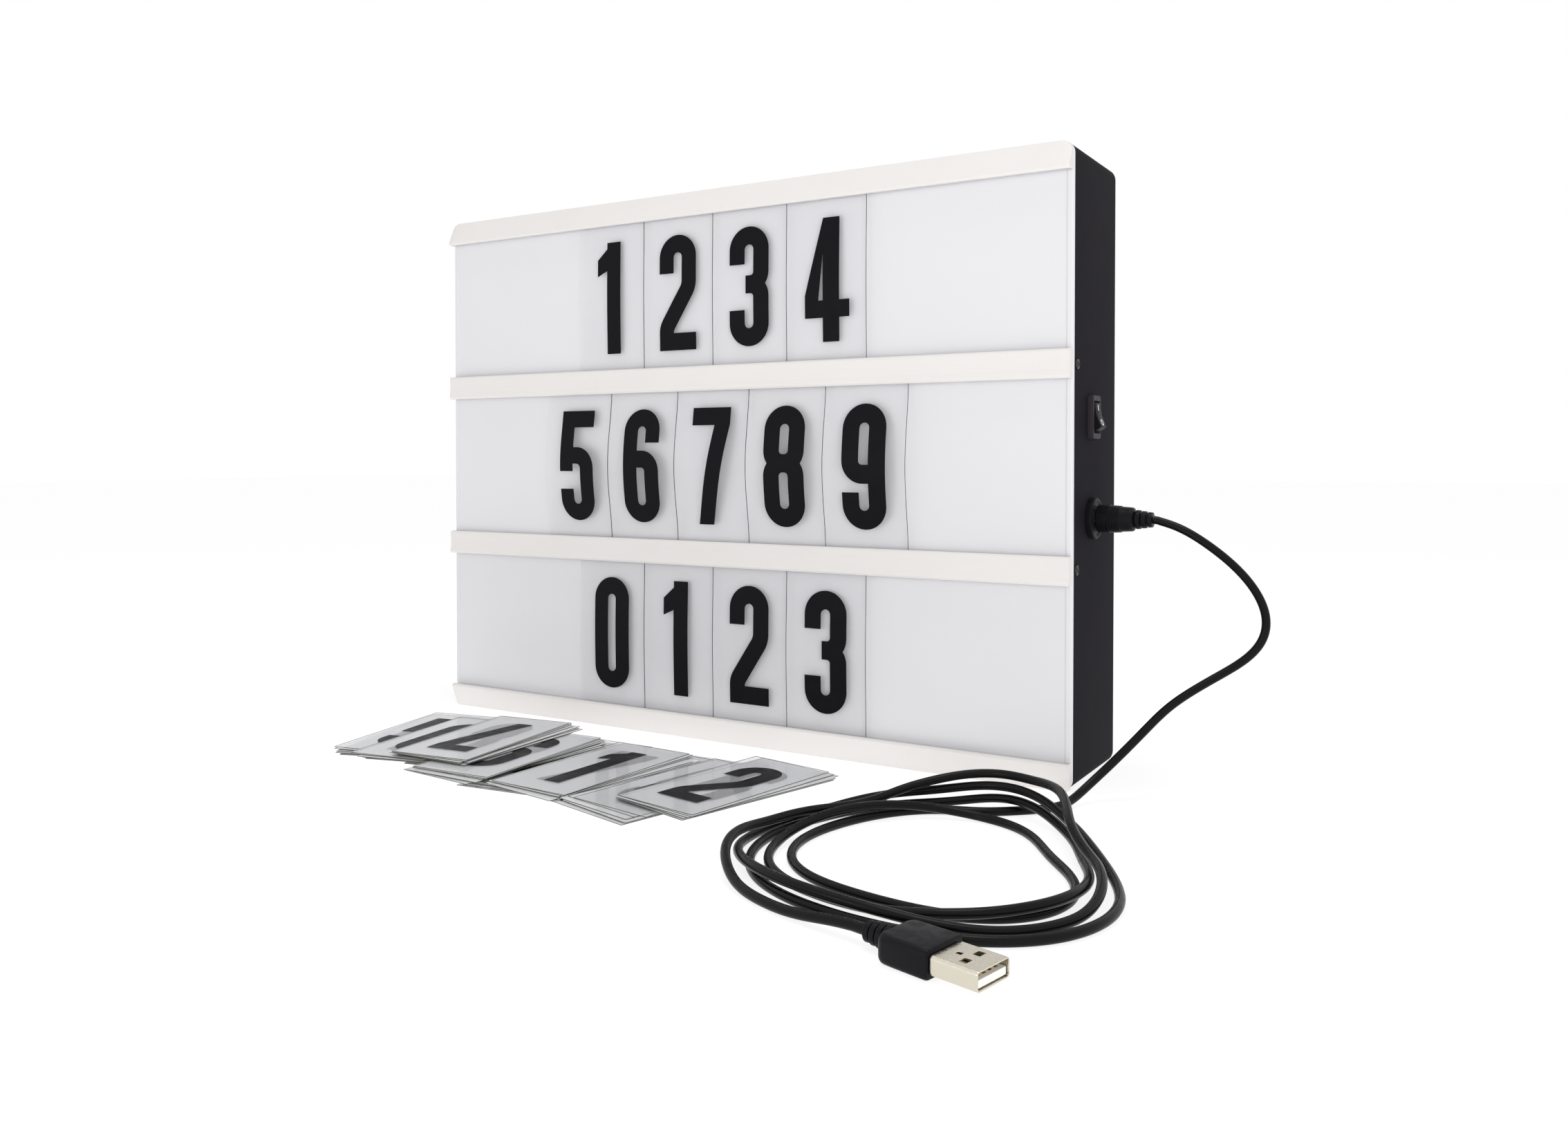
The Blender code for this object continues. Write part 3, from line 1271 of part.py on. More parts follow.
def lead_points():
    """The free stretch and the coil of the lead, as two lines of points."""
    start = np.array([GRIP_END_X + GAP, JACK_Y, JACK_Z])
    straight = np.array([2 * CORD_R, 0, 0])
    heights = JACK_Z * np.array(CORD_HEIGHT_SHARES)
    chosen = np.column_stack([SIDE_X + np.array(CORD_OUT), FRONT_Y + np.array(CORD_BACK), heights])
    route = np.vstack([start, start + straight, chosen])
    turn = math.radians(USB_TURN_DEGREES)
    heading = np.array([math.cos(turn), math.sin(turn)])
    plug = np.array([USB_X, USB_Y]) - heading * GAP
    tail = [plug - heading * 4 * CORD_R, plug - heading * 2 * CORD_R, plug]
    plan = np.vstack([route[-2:, :2], coil_plan(), tail])
    plan = evenly(smooth_curve(plan, 8), CORD_STEP / 3)
    along = lengths_along(plan)
    centre = np.array([LEAD_COIL_X, LEAD_COIL_Y])
    angle = np.degrees(np.unwrap(np.arctan2(*(plan - centre).T[::-1])))
    start_index = int(np.argmin(np.linalg.norm(plan - coil_plan()[0], axis=1)))
    angle = angle + LEAD_COIL_START_DEGREES - angle[start_index]
    arch_at = along[int(np.argmin(np.abs(angle - ARCH_DEGREES)))]
    arch = ARCH_HEIGHT * np.exp(-(((along - arch_at) / ARCH_REACH) ** 2))
    near_plug = np.clip((along - along[-1] + 8 * CORD_R) / (6 * CORD_R), 0, 1)
    rise = (USB_Z - CORD_R) * near_plug**2 * (3 - 2 * near_plug)
    height = lie_down(plan, CORD_R + arch + rise, LEAD_COIL_CLEARANCE)
    lying = np.column_stack([plan, height])
    free = smooth_curve(route, 8)
    split = free[-1]
    lying = lying[np.linalg.norm(lying[:, :2] - split[:2], axis=1).argmin() :]
    return free, lying


def finish_ends(points, gap):
    """Shortens a line at its far end by a gap."""
    heading = points[-1] - points[-2]
    points = points.copy()
    points[-1] = points[-1] - heading / np.linalg.norm(heading) * gap
    return points


def least_gap(points):
    """The smallest distance between the surfaces of two stretches of one cord."""
    fine = evenly(points, CORD_R)
    along = lengths_along(fine)
    apart = np.linalg.norm(fine[:, None] - fine[None], axis=2)
    far = np.abs(along[:, None] - along[None]) > 6 * CORD_R
    return apart[far].min() - 2 * CORD_R


def build_lead():
    """The free stretch from the plug down to the surface, and the coil up to the USB plug."""
    free, lying = lead_points()
    cord = finish_ends(evenly(free, CORD_STEP), GAP)
    tube("lead_cord", cord, CORD_R, 2, CORD_BLACK)
    around = 2 * math.pi * (LEAD_COIL_R + LEAD_COIL_GROWTH / 2)
    coil = evenly(lying, around / LEAD_COIL_POINTS_PER_TURN)
    tube("lead_coil", coil, CORD_R, 1, CORD_BLACK)
    total = lengths_along(free)[-1] + lengths_along(lying)[-1]
    print(f"lead length {total:.3f} m, coil's least gap to itself {least_gap(coil) * 1000:.2f} mm")


# Spare cards


def build_spare_cards():
    """A fan of sheaves lying flat in front of the box, each on its layer."""
    for number, (across, depth, turn, layer) in enumerate(SPARE_SHEAF_SHARES, 1):
        half_w = CARD_W / 2
        half_h = CARD_H / 2
        low = (-half_w, -half_h, 0)
        sheaf = box(f"spare_sheaf_{number}", low, (half_w, half_h, SHEAF_T), CLEAR_CARD)
        front = RAIL_FRONT_Y - SPARE_FRONT
        place = (SIDE_X + across * CARD_PITCH, front + depth * CARD_H)
        sheaf.location = (*place, layer * (SHEAF_T + SHEAF_GAP))
        sheaf.rotation_euler = (0, 0, math.radians(turn))


build_casing()
build_panel()
build_rails()
build_cards()
build_screws()
build_switch()
build_rocker()
build_jack()
build_door()
build_contacts()
build_light_board()
build_driver_board()
build_wires()
build_dc_plug()
build_usb_plug()
build_lead()
build_spare_cards()
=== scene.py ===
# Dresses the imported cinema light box: finishes for the CAD nodes, finer pieces for what shows.

import math

import bmesh
import bpy
import numpy as np
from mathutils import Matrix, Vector
from mathutils.geometry import delaunay_2d_cdt


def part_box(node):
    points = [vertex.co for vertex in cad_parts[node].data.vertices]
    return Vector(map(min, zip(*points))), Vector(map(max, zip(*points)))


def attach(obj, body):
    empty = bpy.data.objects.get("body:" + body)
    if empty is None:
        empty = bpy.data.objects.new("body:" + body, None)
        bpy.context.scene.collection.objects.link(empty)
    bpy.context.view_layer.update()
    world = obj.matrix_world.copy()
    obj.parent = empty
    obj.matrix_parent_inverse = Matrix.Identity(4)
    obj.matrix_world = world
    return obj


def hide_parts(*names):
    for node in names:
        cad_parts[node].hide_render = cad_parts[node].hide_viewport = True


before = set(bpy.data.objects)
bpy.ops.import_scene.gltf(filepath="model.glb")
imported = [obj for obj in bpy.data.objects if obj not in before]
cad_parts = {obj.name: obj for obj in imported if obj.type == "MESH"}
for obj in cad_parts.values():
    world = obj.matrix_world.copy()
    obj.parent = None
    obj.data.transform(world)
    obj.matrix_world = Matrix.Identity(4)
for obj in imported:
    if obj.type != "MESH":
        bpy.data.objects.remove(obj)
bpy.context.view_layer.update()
MM = 0.001

# Sizes repeated from the part, in metres and degrees

GAP = 0.0003
SIDE_X = 0.145
FRONT_Y = -0.026
BOX_H = 0.220
RAIL_H = 0.010
WINDOW_H = 0.060
CARD_T = 0.0004
CORD_R = 0.0014
JACK_Y, JACK_Z = -0.0052, 0.0920
SWITCH_Y, SWITCH_Z = -0.0053, 0.1275
PIVOT_X = 0.1455
ROCKER_TILT = -15
SEAT_X = SIDE_X + 0.00002
GRIP_START_X = 0.1476
GRIP_END_X = 0.1666
LEAD_COIL = np.array([0.1365, -0.1143])
USB_PLACE = np.array([0.1420, -0.1757, 0.0035])
USB_TURN = -13
PLUG_INSET = 0.0030
SHEAF_TURNS = (12, 7, 1, -4, 9, 4, -2, -9, 8, -9.5)


# Camera, world, lamps and floor

WHITE = (1, 1, 1, 1)
WORLD_LIGHT = 0.52
FLOOR_REACH, FLOOR_DROP = 6.0, 0.00012
PAPER_GREY, PAPER_GLOW = 0.9, 0.50
SEEN_GREY, SEEN_GLOW = 0.26, 0.85


def add(tree, kind, values=None, links=None, **settings):
    """Adds a node: settings are its properties, values fill its inputs, links bring sockets to them."""
    node = tree.nodes.new(kind)
    for name, value in settings.items():
        setattr(node, name, value)
    for name, value in (values or {}).items():
        node.inputs[name].default_value = value
    for name, socket in (links or {}).items():
        tree.links.new(socket, node.inputs[name])
    return node


def seen_directly(tree):
    """1 for rays that show a background to the eye: straight, mirrored or through clear film."""
    path = add(tree, "ShaderNodeLightPath")
    seen = path.outputs["Is Camera Ray"]
    for ray in ("Is Glossy Ray", "Is Transmission Ray"):
        either = {0: seen, 1: path.outputs[ray]}
        seen = add(tree, "ShaderNodeMath", links=either, operation="MAXIMUM").outputs[0]
    return seen


def set_camera():
    """The photograph's viewpoint: a little above the box's middle, from the front right."""
    camera = bpy.data.objects.new("camera", bpy.data.cameras.new("camera"))
    bpy.context.scene.collection.objects.link(camera)
    camera.location = (0.27353, -0.42663, 0.11305)
    camera.rotation_euler = (math.radians(89.019), 0, math.radians(31.137))
    camera.data.lens = 27.93
    camera.data.sensor_width = 36
    camera.data.shift_y = -0.0550
    camera.data.clip_start = 0.01
    bpy.context.scene.camera = camera


def set_world():
    """An even white room: white to the eye, and a little less as light."""
    world = bpy.data.worlds.new("studio")
    bpy.context.scene.world = world
    world.use_nodes = True
    tree = world.node_tree
    tree.nodes.clear()
    shades = {"To Min": WORLD_LIGHT, "To Max": 1.0}
    strength = add(tree, "ShaderNodeMapRange", shades, {"Value": seen_directly(tree)}).outputs["Result"]
    room = add(tree, "ShaderNodeBackground", {"Color": WHITE}, {"Strength": strength})
    add(tree, "ShaderNodeOutputWorld", links={"Surface": room.outputs[0]})


def set_lamp(name, place, target, size, power, mirrored=True):
    """A square soft box that faces a point. mirrored says whether gloss shows it."""
    lamp = bpy.data.objects.new(name, bpy.data.lights.new(name, "AREA"))
    bpy.context.scene.collection.objects.link(lamp)
    lamp.location = place
    lamp.rotation_euler = (Vector(target) - Vector(place)).to_track_quat("-Z", "Y").to_euler()
    lamp.data.size = size
    lamp.data.energy = power
    lamp.visible_glossy = mirrored
    lamp.visible_camera = False
    return lamp


def set_floor():
    """A shooting table, lit a little from below: white to the eye, with the object's faint shadow."""
    mesh = bpy.data.meshes.new("floor")
    corners = np.array([(-1, -1), (1, -1), (1, 1), (-1, 1)]) * FLOOR_REACH
    mesh.from_pydata(np.column_stack([corners, np.full(4, -FLOOR_DROP)]).tolist(), [], [(0, 1, 2, 3)])
    floor = bpy.data.objects.new("floor", mesh)
    bpy.context.scene.collection.objects.link(floor)
    paint = bpy.data.materials.new("matt_white_paper")
    paint.use_nodes = True
    tree = paint.node_tree
    tree.nodes.clear()
    layers = {0: seen_directly(tree)}
    for layer, grey, glow in ((1, PAPER_GREY, PAPER_GLOW), (2, SEEN_GREY, SEEN_GLOW)):
        sheet = add(tree, "ShaderNodeBsdfDiffuse", {"Color": (grey, grey, grey, 1)})
        light = add(tree, "ShaderNodeEmission", {"Color": WHITE, "Strength": glow})
        both = {0: sheet.outputs[0], 1: light.outputs[0]}
        layers[layer] = add(tree, "ShaderNodeAddShader", links=both).outputs[0]
    mixed = add(tree, "ShaderNodeMixShader", links=layers)
    add(tree, "ShaderNodeOutputMaterial", links={"Surface": mixed.outputs[0]})
    mesh.materials.append(paint)


bpy.context.scene.view_settings.view_transform = "Standard"
set_camera()
set_world()
set_floor()
set_lamp("key_softbox", (-0.28, -0.92, 0.17), (0.05, -0.05, 0.06), 0.22, 0.50)
fill = set_lamp("fill_softbox", (0.72, -0.72, 0.13), (0.05, 0, 0.06), 0.5, 3.8, mirrored=False)
fill.data.color = (1.0, 0.985, 0.965)
set_lamp("overhead_softbox", (0.06, -0.13, 1.05), (0.06, -0.12, 0.0), 0.4, 2.4)

# Finishes

MIX_LOW, MIX_HIGH, MIX_RESULT = 6, 7, 2
NOISE_LOW, NOISE_HIGH = 0.3, 0.7


def linear(colour):
    """An sRGB hex colour as linear numbers."""
    channels = np.array([int(colour[i : i + 2], 16) / 255 for i in (0, 2, 4)])
    low, high = channels / 12.92, ((channels + 0.055) / 1.055) ** 2.4
    return (*np.where(channels <= 0.04045, low, high), 1.0)


def pattern(tree, grain_mm, detail, stretch=(1, 1, 1)):
    """Noise in Object coordinates, with grains of a size in millimetres, drawn out by stretch."""
    where = add(tree, "ShaderNodeTexCoord").outputs["Object"]
    scale = {"Scale": tuple(1 / s for s in stretch)}
    scaled = add(tree, "ShaderNodeMapping", scale, {"Vector": where}).outputs[0]
    grain = {"Scale": 1 / (grain_mm * MM), "Detail": detail, "Roughness": 0.55}
    return add(tree, "ShaderNodeTexNoise", grain, {"Vector": scaled}).outputs["Fac"]


def finish(name, colour, roughness, specular=0.5, metallic=0.0, **patterns):
    """A Principled finish with up to three patterns, each given by its grain and its detail. bump
    adds a depth in millimetres, a strength, and a stretch if there is one. tint adds the two
    colours that it runs between, and rough the two roughnesses."""
    made = bpy.data.materials.new(name)
    made.use_nodes = True
    tree = made.node_tree
    shader = tree.nodes["Principled BSDF"].inputs
    shader["Base Color"].default_value = linear(colour)
    shader["Roughness"].default_value = roughness
    shader["Specular IOR Level"].default_value = specular
    shader["Metallic"].default_value = metallic
    if "bump" in patterns:
        grain, detail, depth, strength, *stretch = patterns["bump"]
        size = {"Distance": depth * MM, "Strength": strength}
        bump = add(tree, "ShaderNodeBump", size, {"Height": pattern(tree, grain, detail, *stretch)})
        tree.links.new(bump.outputs[0], shader["Normal"])
    if "tint" in patterns:
        grain, detail, low, high = patterns["tint"]
        ends = {MIX_LOW: linear(low), MIX_HIGH: linear(high)}
        mix = add(tree, "ShaderNodeMix", ends, {"Factor": pattern(tree, grain, detail)}, data_type="RGBA")
        tree.links.new(mix.outputs[MIX_RESULT], shader["Base Color"])
    if "rough" in patterns:
        grain, detail, low, high = patterns["rough"]
        ends = {"From Min": NOISE_LOW, "From Max": NOISE_HIGH, "To Min": low, "To Max": high}
        spread = add(tree, "ShaderNodeMapRange", ends, {"Value": pattern(tree, grain, detail)})
        tree.links.new(spread.outputs["Result"], shader["Roughness"])
    return made


def make_film():
    """Clear PET film: nearly all light passes, and a white gloss grows with the fifth power of the
    slant at which it is seen."""
    made = finish("clear_pet_film_rolled", "f4f5f7", 0.07, bump=(26, 1, 0.05, 0.35))
    tree = made.node_tree
    clear = add(tree, "ShaderNodeBsdfTransparent", {"Color": (0.990, 0.990, 0.992, 1)})
    slant = add(tree, "ShaderNodeLayerWeight", {"Blend": 0.5}).outputs["Facing"]
    fifth = add(tree, "ShaderNodeMath", {1: 5.0}, {0: slant}, operation="POWER").outputs[0]
    ends = {"To Min": 0.04, "To Max": 1.0}
    share = add(tree, "ShaderNodeMapRange", ends, {"Value": fifth}).outputs["Result"]
    gloss = tree.nodes["Principled BSDF"].outputs[0]
    mixed = add(tree, "ShaderNodeMixShader", links={0: share, 1: clear.outputs[0], 2: gloss})
    tree.links.new(mixed.outputs[0], tree.nodes["Material Output"].inputs["Surface"])
    return made


# ABS, injection moulded in a spark-eroded tool: a dull black with a fine even grain
BLACK_ABS = finish(
    "black_abs_spark_eroded", "1d1b20", 0.75, 0.04,
    bump=(0.35, 3, 0.03, 1), tint=(9, 2, "1b191e", "201e23"),
)
# Opal polystyrene sheet: a satin, cool white that looks slightly deep
OPAL = finish(
    "opal_polystyrene_moulded", "dfdfe2", 0.38, 0.3,
    bump=(14, 1, 0.06, 0.25), tint=(45, 1, "dedee2", "e1e1e3"),
)
# Rigid PVC, extruded: a warm satin white with faint lines along its length
ALONG_X = (60, 1, 1)
WHITE_PVC = finish(
    "white_rigid_pvc_extruded", "e4e0df", 0.42, 0.3,
    bump=(0.6, 1, 0.008, 0.5, ALONG_X), tint=(30, 1, "e3dfdd", "e6e3e2"),
)
FILM = make_film()
# Clear PET films that lie on each other: what lies under them is greyed and softened
FILM_STACK = finish(
    "clear_pet_film_stacked", "f2f3f4", 0.14, bump=(26, 1, 0.05, 0.35), tint=(12, 2, "e8e9ea", "f7f8f9")
)
# The knife-cut edge of PET film, with painted shade: the dark grey-green line that light leaving it sideways
# gives is painted into its colour
FILM_EDGE_SHADE = finish("pet_film_cut_edge", "34352c", 0.5, tint=(6, 2, "14150f", "5c5d4c"))
# Screen ink under the film's gloss: dense black with a soft sheen
INK = finish("black_screen_ink", "0c0b0f", 0.44, 0.09, rough=(5, 2, 0.38, 0.5))
# Nylon, moulded in a smooth tool: black with a soft highlight
NYLON = finish(
    "black_nylon_moulded", "312e32", 0.5, 0.14, bump=(0.25, 2, 0.01, 1), rough=(2, 1, 0.44, 0.56)
)
# Nylon, moulded in a polished tool, for the rocker and the socket: a deeper black, with a soft sheen
FINE_NYLON = finish("black_nylon_polished", "121115", 0.46, 0.1, rough=(2, 1, 0.42, 0.52))
# Soft PVC, extruded round the cores: black with a long soft highlight
CORD_PVC = finish(
    "black_soft_pvc_extruded", "0a090a", 0.28, 0.15, bump=(0.4, 2, 0.012, 1), rough=(3, 1, 0.25, 0.34)
)
# Soft PVC, moulded over the plugs: black and duller than the cord
GRIP_PVC = finish(
    "black_soft_pvc_moulded", "0e0d11", 0.36, 0.13, bump=(0.25, 2, 0.012, 1), rough=(2, 1, 0.34, 0.48)
)
# Steel, stamped and nickel plated: warm bright metal with fine stamping haze
NICKEL = finish("nickel_plated_steel_stamped", "d9d3c3", 0.24, metallic=1, rough=(1.2, 2, 0.18, 0.32))
# Steel wire, wound and nickel plated: a greyer, duller metal
SPRING = finish("nickel_plated_spring_wire", "c2beb4", 0.28, metallic=1, rough=(0.8, 1, 0.22, 0.36))
# Brass contacts with a thin gold plate: warm yellow and smooth
GOLD = finish("gold_plated_brass", "d8ad55", 0.25, metallic=1, rough=(0.6, 1, 0.2, 0.3))
# Steel screws, blackened: dark metal with paler patches where it is bare
SCREW_STEEL = finish(
    "blackened_steel_headed", "2e2c2a", 0.32, metallic=0.9, tint=(0.5, 2, "1a1918", "55524d")
)
# PBT, moulded: the white insulator in the USB shell
TONGUE_PBT = finish("white_pbt_moulded", "efede8", 0.4, rough=(0.8, 1, 0.34, 0.46))
# Pad-printed ink: the switch's matt white marks
MARK = finish("white_pad_print", "e9e9e6", 0.5, rough=(0.4, 1, 0.45, 0.6))
# White solder mask and white polystyrene inside the box: a plain matt white
WHITE_BOARD = finish("white_solder_mask", "e8e8e4", 0.5, tint=(4, 1, "e2e2de", "eeeeea"))
# Glass-epoxy board under green solder mask: the weave shows as a slight mottle
GREEN_BOARD = finish("green_solder_mask", "2a6440", 0.35, tint=(1.5, 2, "235637", "31714a"))
# PVC insulation of the thin wires inside
WIRE_RED = finish("red_wire_pvc", "98221f", 0.4, tint=(2, 1, "98221f", "ac2b26"))
WIRE_BLACK = finish("black_wire_pvc", "1c1c1e", 0.4, tint=(2, 1, "1c1c1e", "28282a"))

# Surfaces


def cells(rows, columns, wrap_rows=False, wrap_columns=False):
    """The four corner numbers of each cell between neighbouring points of a grid, row by row."""
    number = np.arange(rows * columns).reshape(rows, columns)
    if wrap_rows:
        number = np.vstack([number, number[:1]])
    if wrap_columns:
        number = np.hstack([number, number[:, :1]])
    corners = [number[:-1, :-1], number[:-1, 1:], number[1:, 1:], number[1:, :-1]]
    return np.stack(corners, -1).reshape(-1, 4)


def shown(mesh, sharp):
    """An object of a mesh's own name, smooth but for the edges that turn by more than an angle."""
    mesh.shade_smooth()
    mesh.set_sharp_from_angle(angle=math.radians(sharp))
    made = bpy.data.objects.new(mesh.name, mesh)
    bpy.context.scene.collection.objects.link(made)
    return made


def piece(name, points, faces, finishes, picks=None, sharp=35):
    """A mesh object from points and faces, turned to face outwards, smooth but for its sharp edges."""
    points = np.asarray(points, float)
    mesh = bpy.data.meshes.new(name)
    mesh.from_pydata(points.tolist(), [], [list(map(int, face)) for face in faces])
    for one in finishes:
        mesh.materials.append(one)
    if picks is not None:
        mesh.polygons.foreach_set("material_index", np.asarray(picks, np.int32))
    mesh.update()
    mesh.calc_loop_triangles()
    corners = np.zeros(len(mesh.loop_triangles) * 3, np.int32)
    mesh.loop_triangles.foreach_get("vertices", corners)
    around = points - points.mean(axis=0)
    if np.linalg.det(around[corners.reshape(-1, 3)]).sum() < 0:
        mesh.flip_normals()
    return shown(mesh, sharp)


def loft(name, rings, finishes, picks=None, sharp=35):
    """A skin over rings of points (rings, points, 3), closed by a flat face at each end."""
    rings = np.asarray(rings, float)
    rows, columns = rings.shape[:2]
    first = np.arange(columns)
    faces = [*cells(rows, columns, wrap_columns=True), first[::-1], first + (rows - 1) * columns]
    return piece(name, rings.reshape(-1, 3), faces, finishes, picks, sharp)


def joined(name, parts):
    """Several objects made one, in one mesh."""
    bpy.ops.object.select_all(action="DESELECT")
    for one in parts:
        one.select_set(True)
    bpy.context.view_layer.objects.active = parts[0]
    bpy.ops.object.join()
    parts[0].name = name
    parts[0].data.name = name
    return parts[0]


def softly(made, width, angle):
    """Rounds the edges of a piece that turn by more than an angle, with a Bevel."""
    bevel = made.modifiers.new("soft_edges", "BEVEL")
    bevel.width = width
    bevel.segments = 2
    bevel.limit_method = "ANGLE"
    bevel.angle_limit = math.radians(angle)


def rounded_line(corners, radius, steps=6, closed=True):
    """A line through corners, each rounded by an exact arc.

    The arc is the rational curve whose ends lie r * tan(turn / 2) from the corner, and whose
    middle weight is cos(turn / 2). An open line keeps its two ends.
    """
    corners = np.asarray(corners, float)
    radius = np.broadcast_to(np.asarray(radius, float), len(corners))
    before, after = np.roll(corners, 1, axis=0), np.roll(corners, -1, axis=0)
    came = corners - before
    goes = after - corners
    came /= np.linalg.norm(came, axis=1, keepdims=True) + 1e-15
    goes /= np.linalg.norm(goes, axis=1, keepdims=True) + 1e-15
    turn = np.arccos(np.clip((came * goes).sum(axis=1), -1, 1))
    reach = (radius * np.tan(turn / 2))[:, None, None]
    share = np.linspace(0, 1, steps + 1)[None, :, None]
    weight = np.cos(turn / 2)[:, None, None]
    first, last, mid = (1 - share) ** 2, share**2, 2 * weight * share * (1 - share)
    start = corners[:, None] - came[:, None] * reach
    stop = corners[:, None] + goes[:, None] * reach
    arcs = (first * start + mid * corners[:, None] + last * stop) / (first + mid + last)
    if closed:
        return arcs.reshape(-1, corners.shape[1])
    return np.vstack([corners[:1], arcs[1:-1].reshape(-1, corners.shape[1]), corners[-1:]])


def rectangle(width, height, centre=(0, 0)):
    """The corners of a rectangle."""
    half = np.array([width, height]) / 2
    return np.array([(-1, -1), (1, -1), (1, 1), (-1, 1)]) * half + np.array(centre)


def circle(sides, start=0.0):
    """The cosine and the sine of equal steps round a whole turn, in two columns."""
    angle = np.linspace(0, 2 * np.pi, sides, endpoint=False) + start
    return np.stack([np.cos(angle), np.sin(angle)], 1)


def set_at(line, axis, level):
    """A flat outline, set at a level of one axis."""
    return np.insert(line, axis, level, axis=1)


def laid(points, place, turn):
    """Points turned about the Z axis and then moved."""
    c, s = math.cos(turn), math.sin(turn)
    x, y = points[..., 0], points[..., 1]
    return np.stack([x * c - y * s + place[0], x * s + y * c + place[1], points[..., 2] + place[2]], -1)


def box_of(node):
    """The lowest and the highest corner of a CAD node."""
    return [np.array(corner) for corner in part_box(node)]


def turned(name, profile, origin, axis, sides, finishes, sharp=35):
    """A profile of (radius, distance along the axis) turned once round an axis: each profile point
    gives one ring."""
    profile = np.asarray(profile, float)
    axis = np.array(Vector(axis).normalized())
    across = np.array(Vector(axis).orthogonal().normalized())
    other = np.cross(axis, across)
    spokes = circle(sides)[:, :1] * across + circle(sides)[:, 1:] * other
    rings = profile[:, :1, None] * spokes[None] + profile[:, 1:, None] * axis + np.array(origin)
    return loft(name, rings, finishes, sharp=sharp)


def along_lengths(points):
    """Each point's distance from the first, along the line."""
    return np.concatenate([[0], np.cumsum(np.linalg.norm(np.diff(points, axis=0), axis=1))])


def evenly(points, step):
    """The same line with its points a step apart."""
    along = along_lengths(points)
    places = np.linspace(0, along[-1], max(2, round(along[-1] / step) + 1))
    return np.stack([np.interp(places, along, points[:, k]) for k in range(points.shape[1])], 1)


def tube(name, path, radius, sides, finishes):
    """A round section carried along a path: at each point a ring lies across the path's heading,
    and its first spoke turns as little as it can."""
    path = np.asarray(path, float)
    heading = np.gradient(path, axis=0)
    heading /= np.linalg.norm(heading, axis=1, keepdims=True)
    spoke = np.zeros_like(path)
    spoke[0] = np.array(Vector(heading[0]).orthogonal().normalized())
    for i in range(1, len(path)):
        flat = spoke[i - 1] - heading[i] * (spoke[i - 1] @ heading[i])
        spoke[i] = flat / np.linalg.norm(flat)
    other = np.cross(heading, spoke)
    around = circle(sides)[:, :1] * spoke[:, None] + circle(sides)[:, 1:] * other[:, None]
    return loft(name, path[:, None] + radius * around, finishes, sharp=60)


def mount(made, body, slot, *nodes):
    """A piece rides on a body and stands for CAD nodes, which it hides. slot is not used."""
    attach(made, body)
    if nodes:
        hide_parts(*nodes)
    return made


def dress(node, made):
    """Gives a CAD node a finish."""
    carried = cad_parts[node]
    if not carried.material_slots:
        carried.data.materials.append(made)
    for slot in carried.material_slots:
        slot.material = made


def smooth_copy(node, name, finishes):
    """A CAD node's mesh with its doubles merged and its flat faces whole, so that it shades smoothly."""
    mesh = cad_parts[node].data.copy()
    mesh.name = name
    bm = bmesh.new()
    bm.from_mesh(mesh)
    bmesh.ops.remove_doubles(bm, verts=bm.verts[:], dist=2e-6)
    bmesh.ops.dissolve_limit(bm, angle_limit=math.radians(0.5), verts=bm.verts[:], edges=bm.edges[:])
    bm.to_mesh(mesh)
    bm.free()
    mesh.materials.clear()
    for one in finishes:
        mesh.materials.append(one)
    if "custom_normal" in mesh.attributes:
        mesh.attributes.remove(mesh.attributes["custom_normal"])
    return shown(mesh, 32)


# The power lead

CORD_ROUTE = [
    (0.1738, -0.0058, 0.0906),
    (0.1803, -0.0070, 0.0875),
    (0.1867, -0.0076, 0.0833),
    (0.1926, -0.0070, 0.0786),
    (0.1976, -0.0058, 0.0732),
    (0.2011, -0.0046, 0.0678),
    (0.2032, -0.0036, 0.0624),
    (0.2035, -0.0028, 0.0569),
    (0.2017, -0.0032, 0.0515),
    (0.1960, -0.0058, 0.0457),
    (0.1860, -0.0110, 0.0391),
    (0.1752, -0.0176, 0.0311),
    (0.1674, -0.0222, 0.0218),
    (0.1582, -0.0286, 0.0110),
    (0.1524, -0.0354, 0.0046),
    (0.1500, -0.0430, 0.0015),
    (0.1478, -0.0510, 0.0014),
]
COIL_WAVES = ((1, 3.8, 218), (2, 3.4, 246), (3, 3.1, 270), (0.35, 3.1, -19), (1.55, 2.3, 152.5))
COIL_PULLS = ((280, -3.0, 45), (1000, -1.8, 35), (1475, -8.0, 38), (1590, -4.5, 35), (1660, 2.5, 25))
COIL_R, COIL_GROWTH = 0.0405, 0.0175
COIL_START, COIL_END = 98, 1700
CLEARANCE, HUMP_REACH, CORD_STEP = 0.0010, 0.026, 0.0070 / 3
ARCH_HEIGHT, ARCH_REACH, ARCH_ANGLE = 0.0120, 0.042, 1505
CURVE_PIECES, TURN_POINTS, LINE_STEP = 8, 24, 0.0012
SETTLINGS, EASINGS = 12, 14
RISE_START, RISE_LENGTH = 17 * CORD_R, 15 * CORD_R


def smooth_curve(points, pieces):
    """A Catmull-Rom curve: between each two points a cubic whose slopes are half the difference of
    the points on either side."""
    points = np.asarray(points, float)
    ends = np.vstack([2 * points[0] - points[1], points, 2 * points[-1] - points[-2]])
    a, b, c, d = (ends[k : len(ends) - 3 + k][:, None] for k in range(4))
    t = np.linspace(0, 1, pieces, endpoint=False)[None, :, None]
    square = (2 * a - 5 * b + 4 * c - d) * t**2
    cube = (3 * b - a - 3 * c + d) * t**3
    found = 0.5 * (2 * b + (c - a) * t + square + cube)
    return np.vstack([found.reshape(-1, points.shape[1]), points[-1:]])


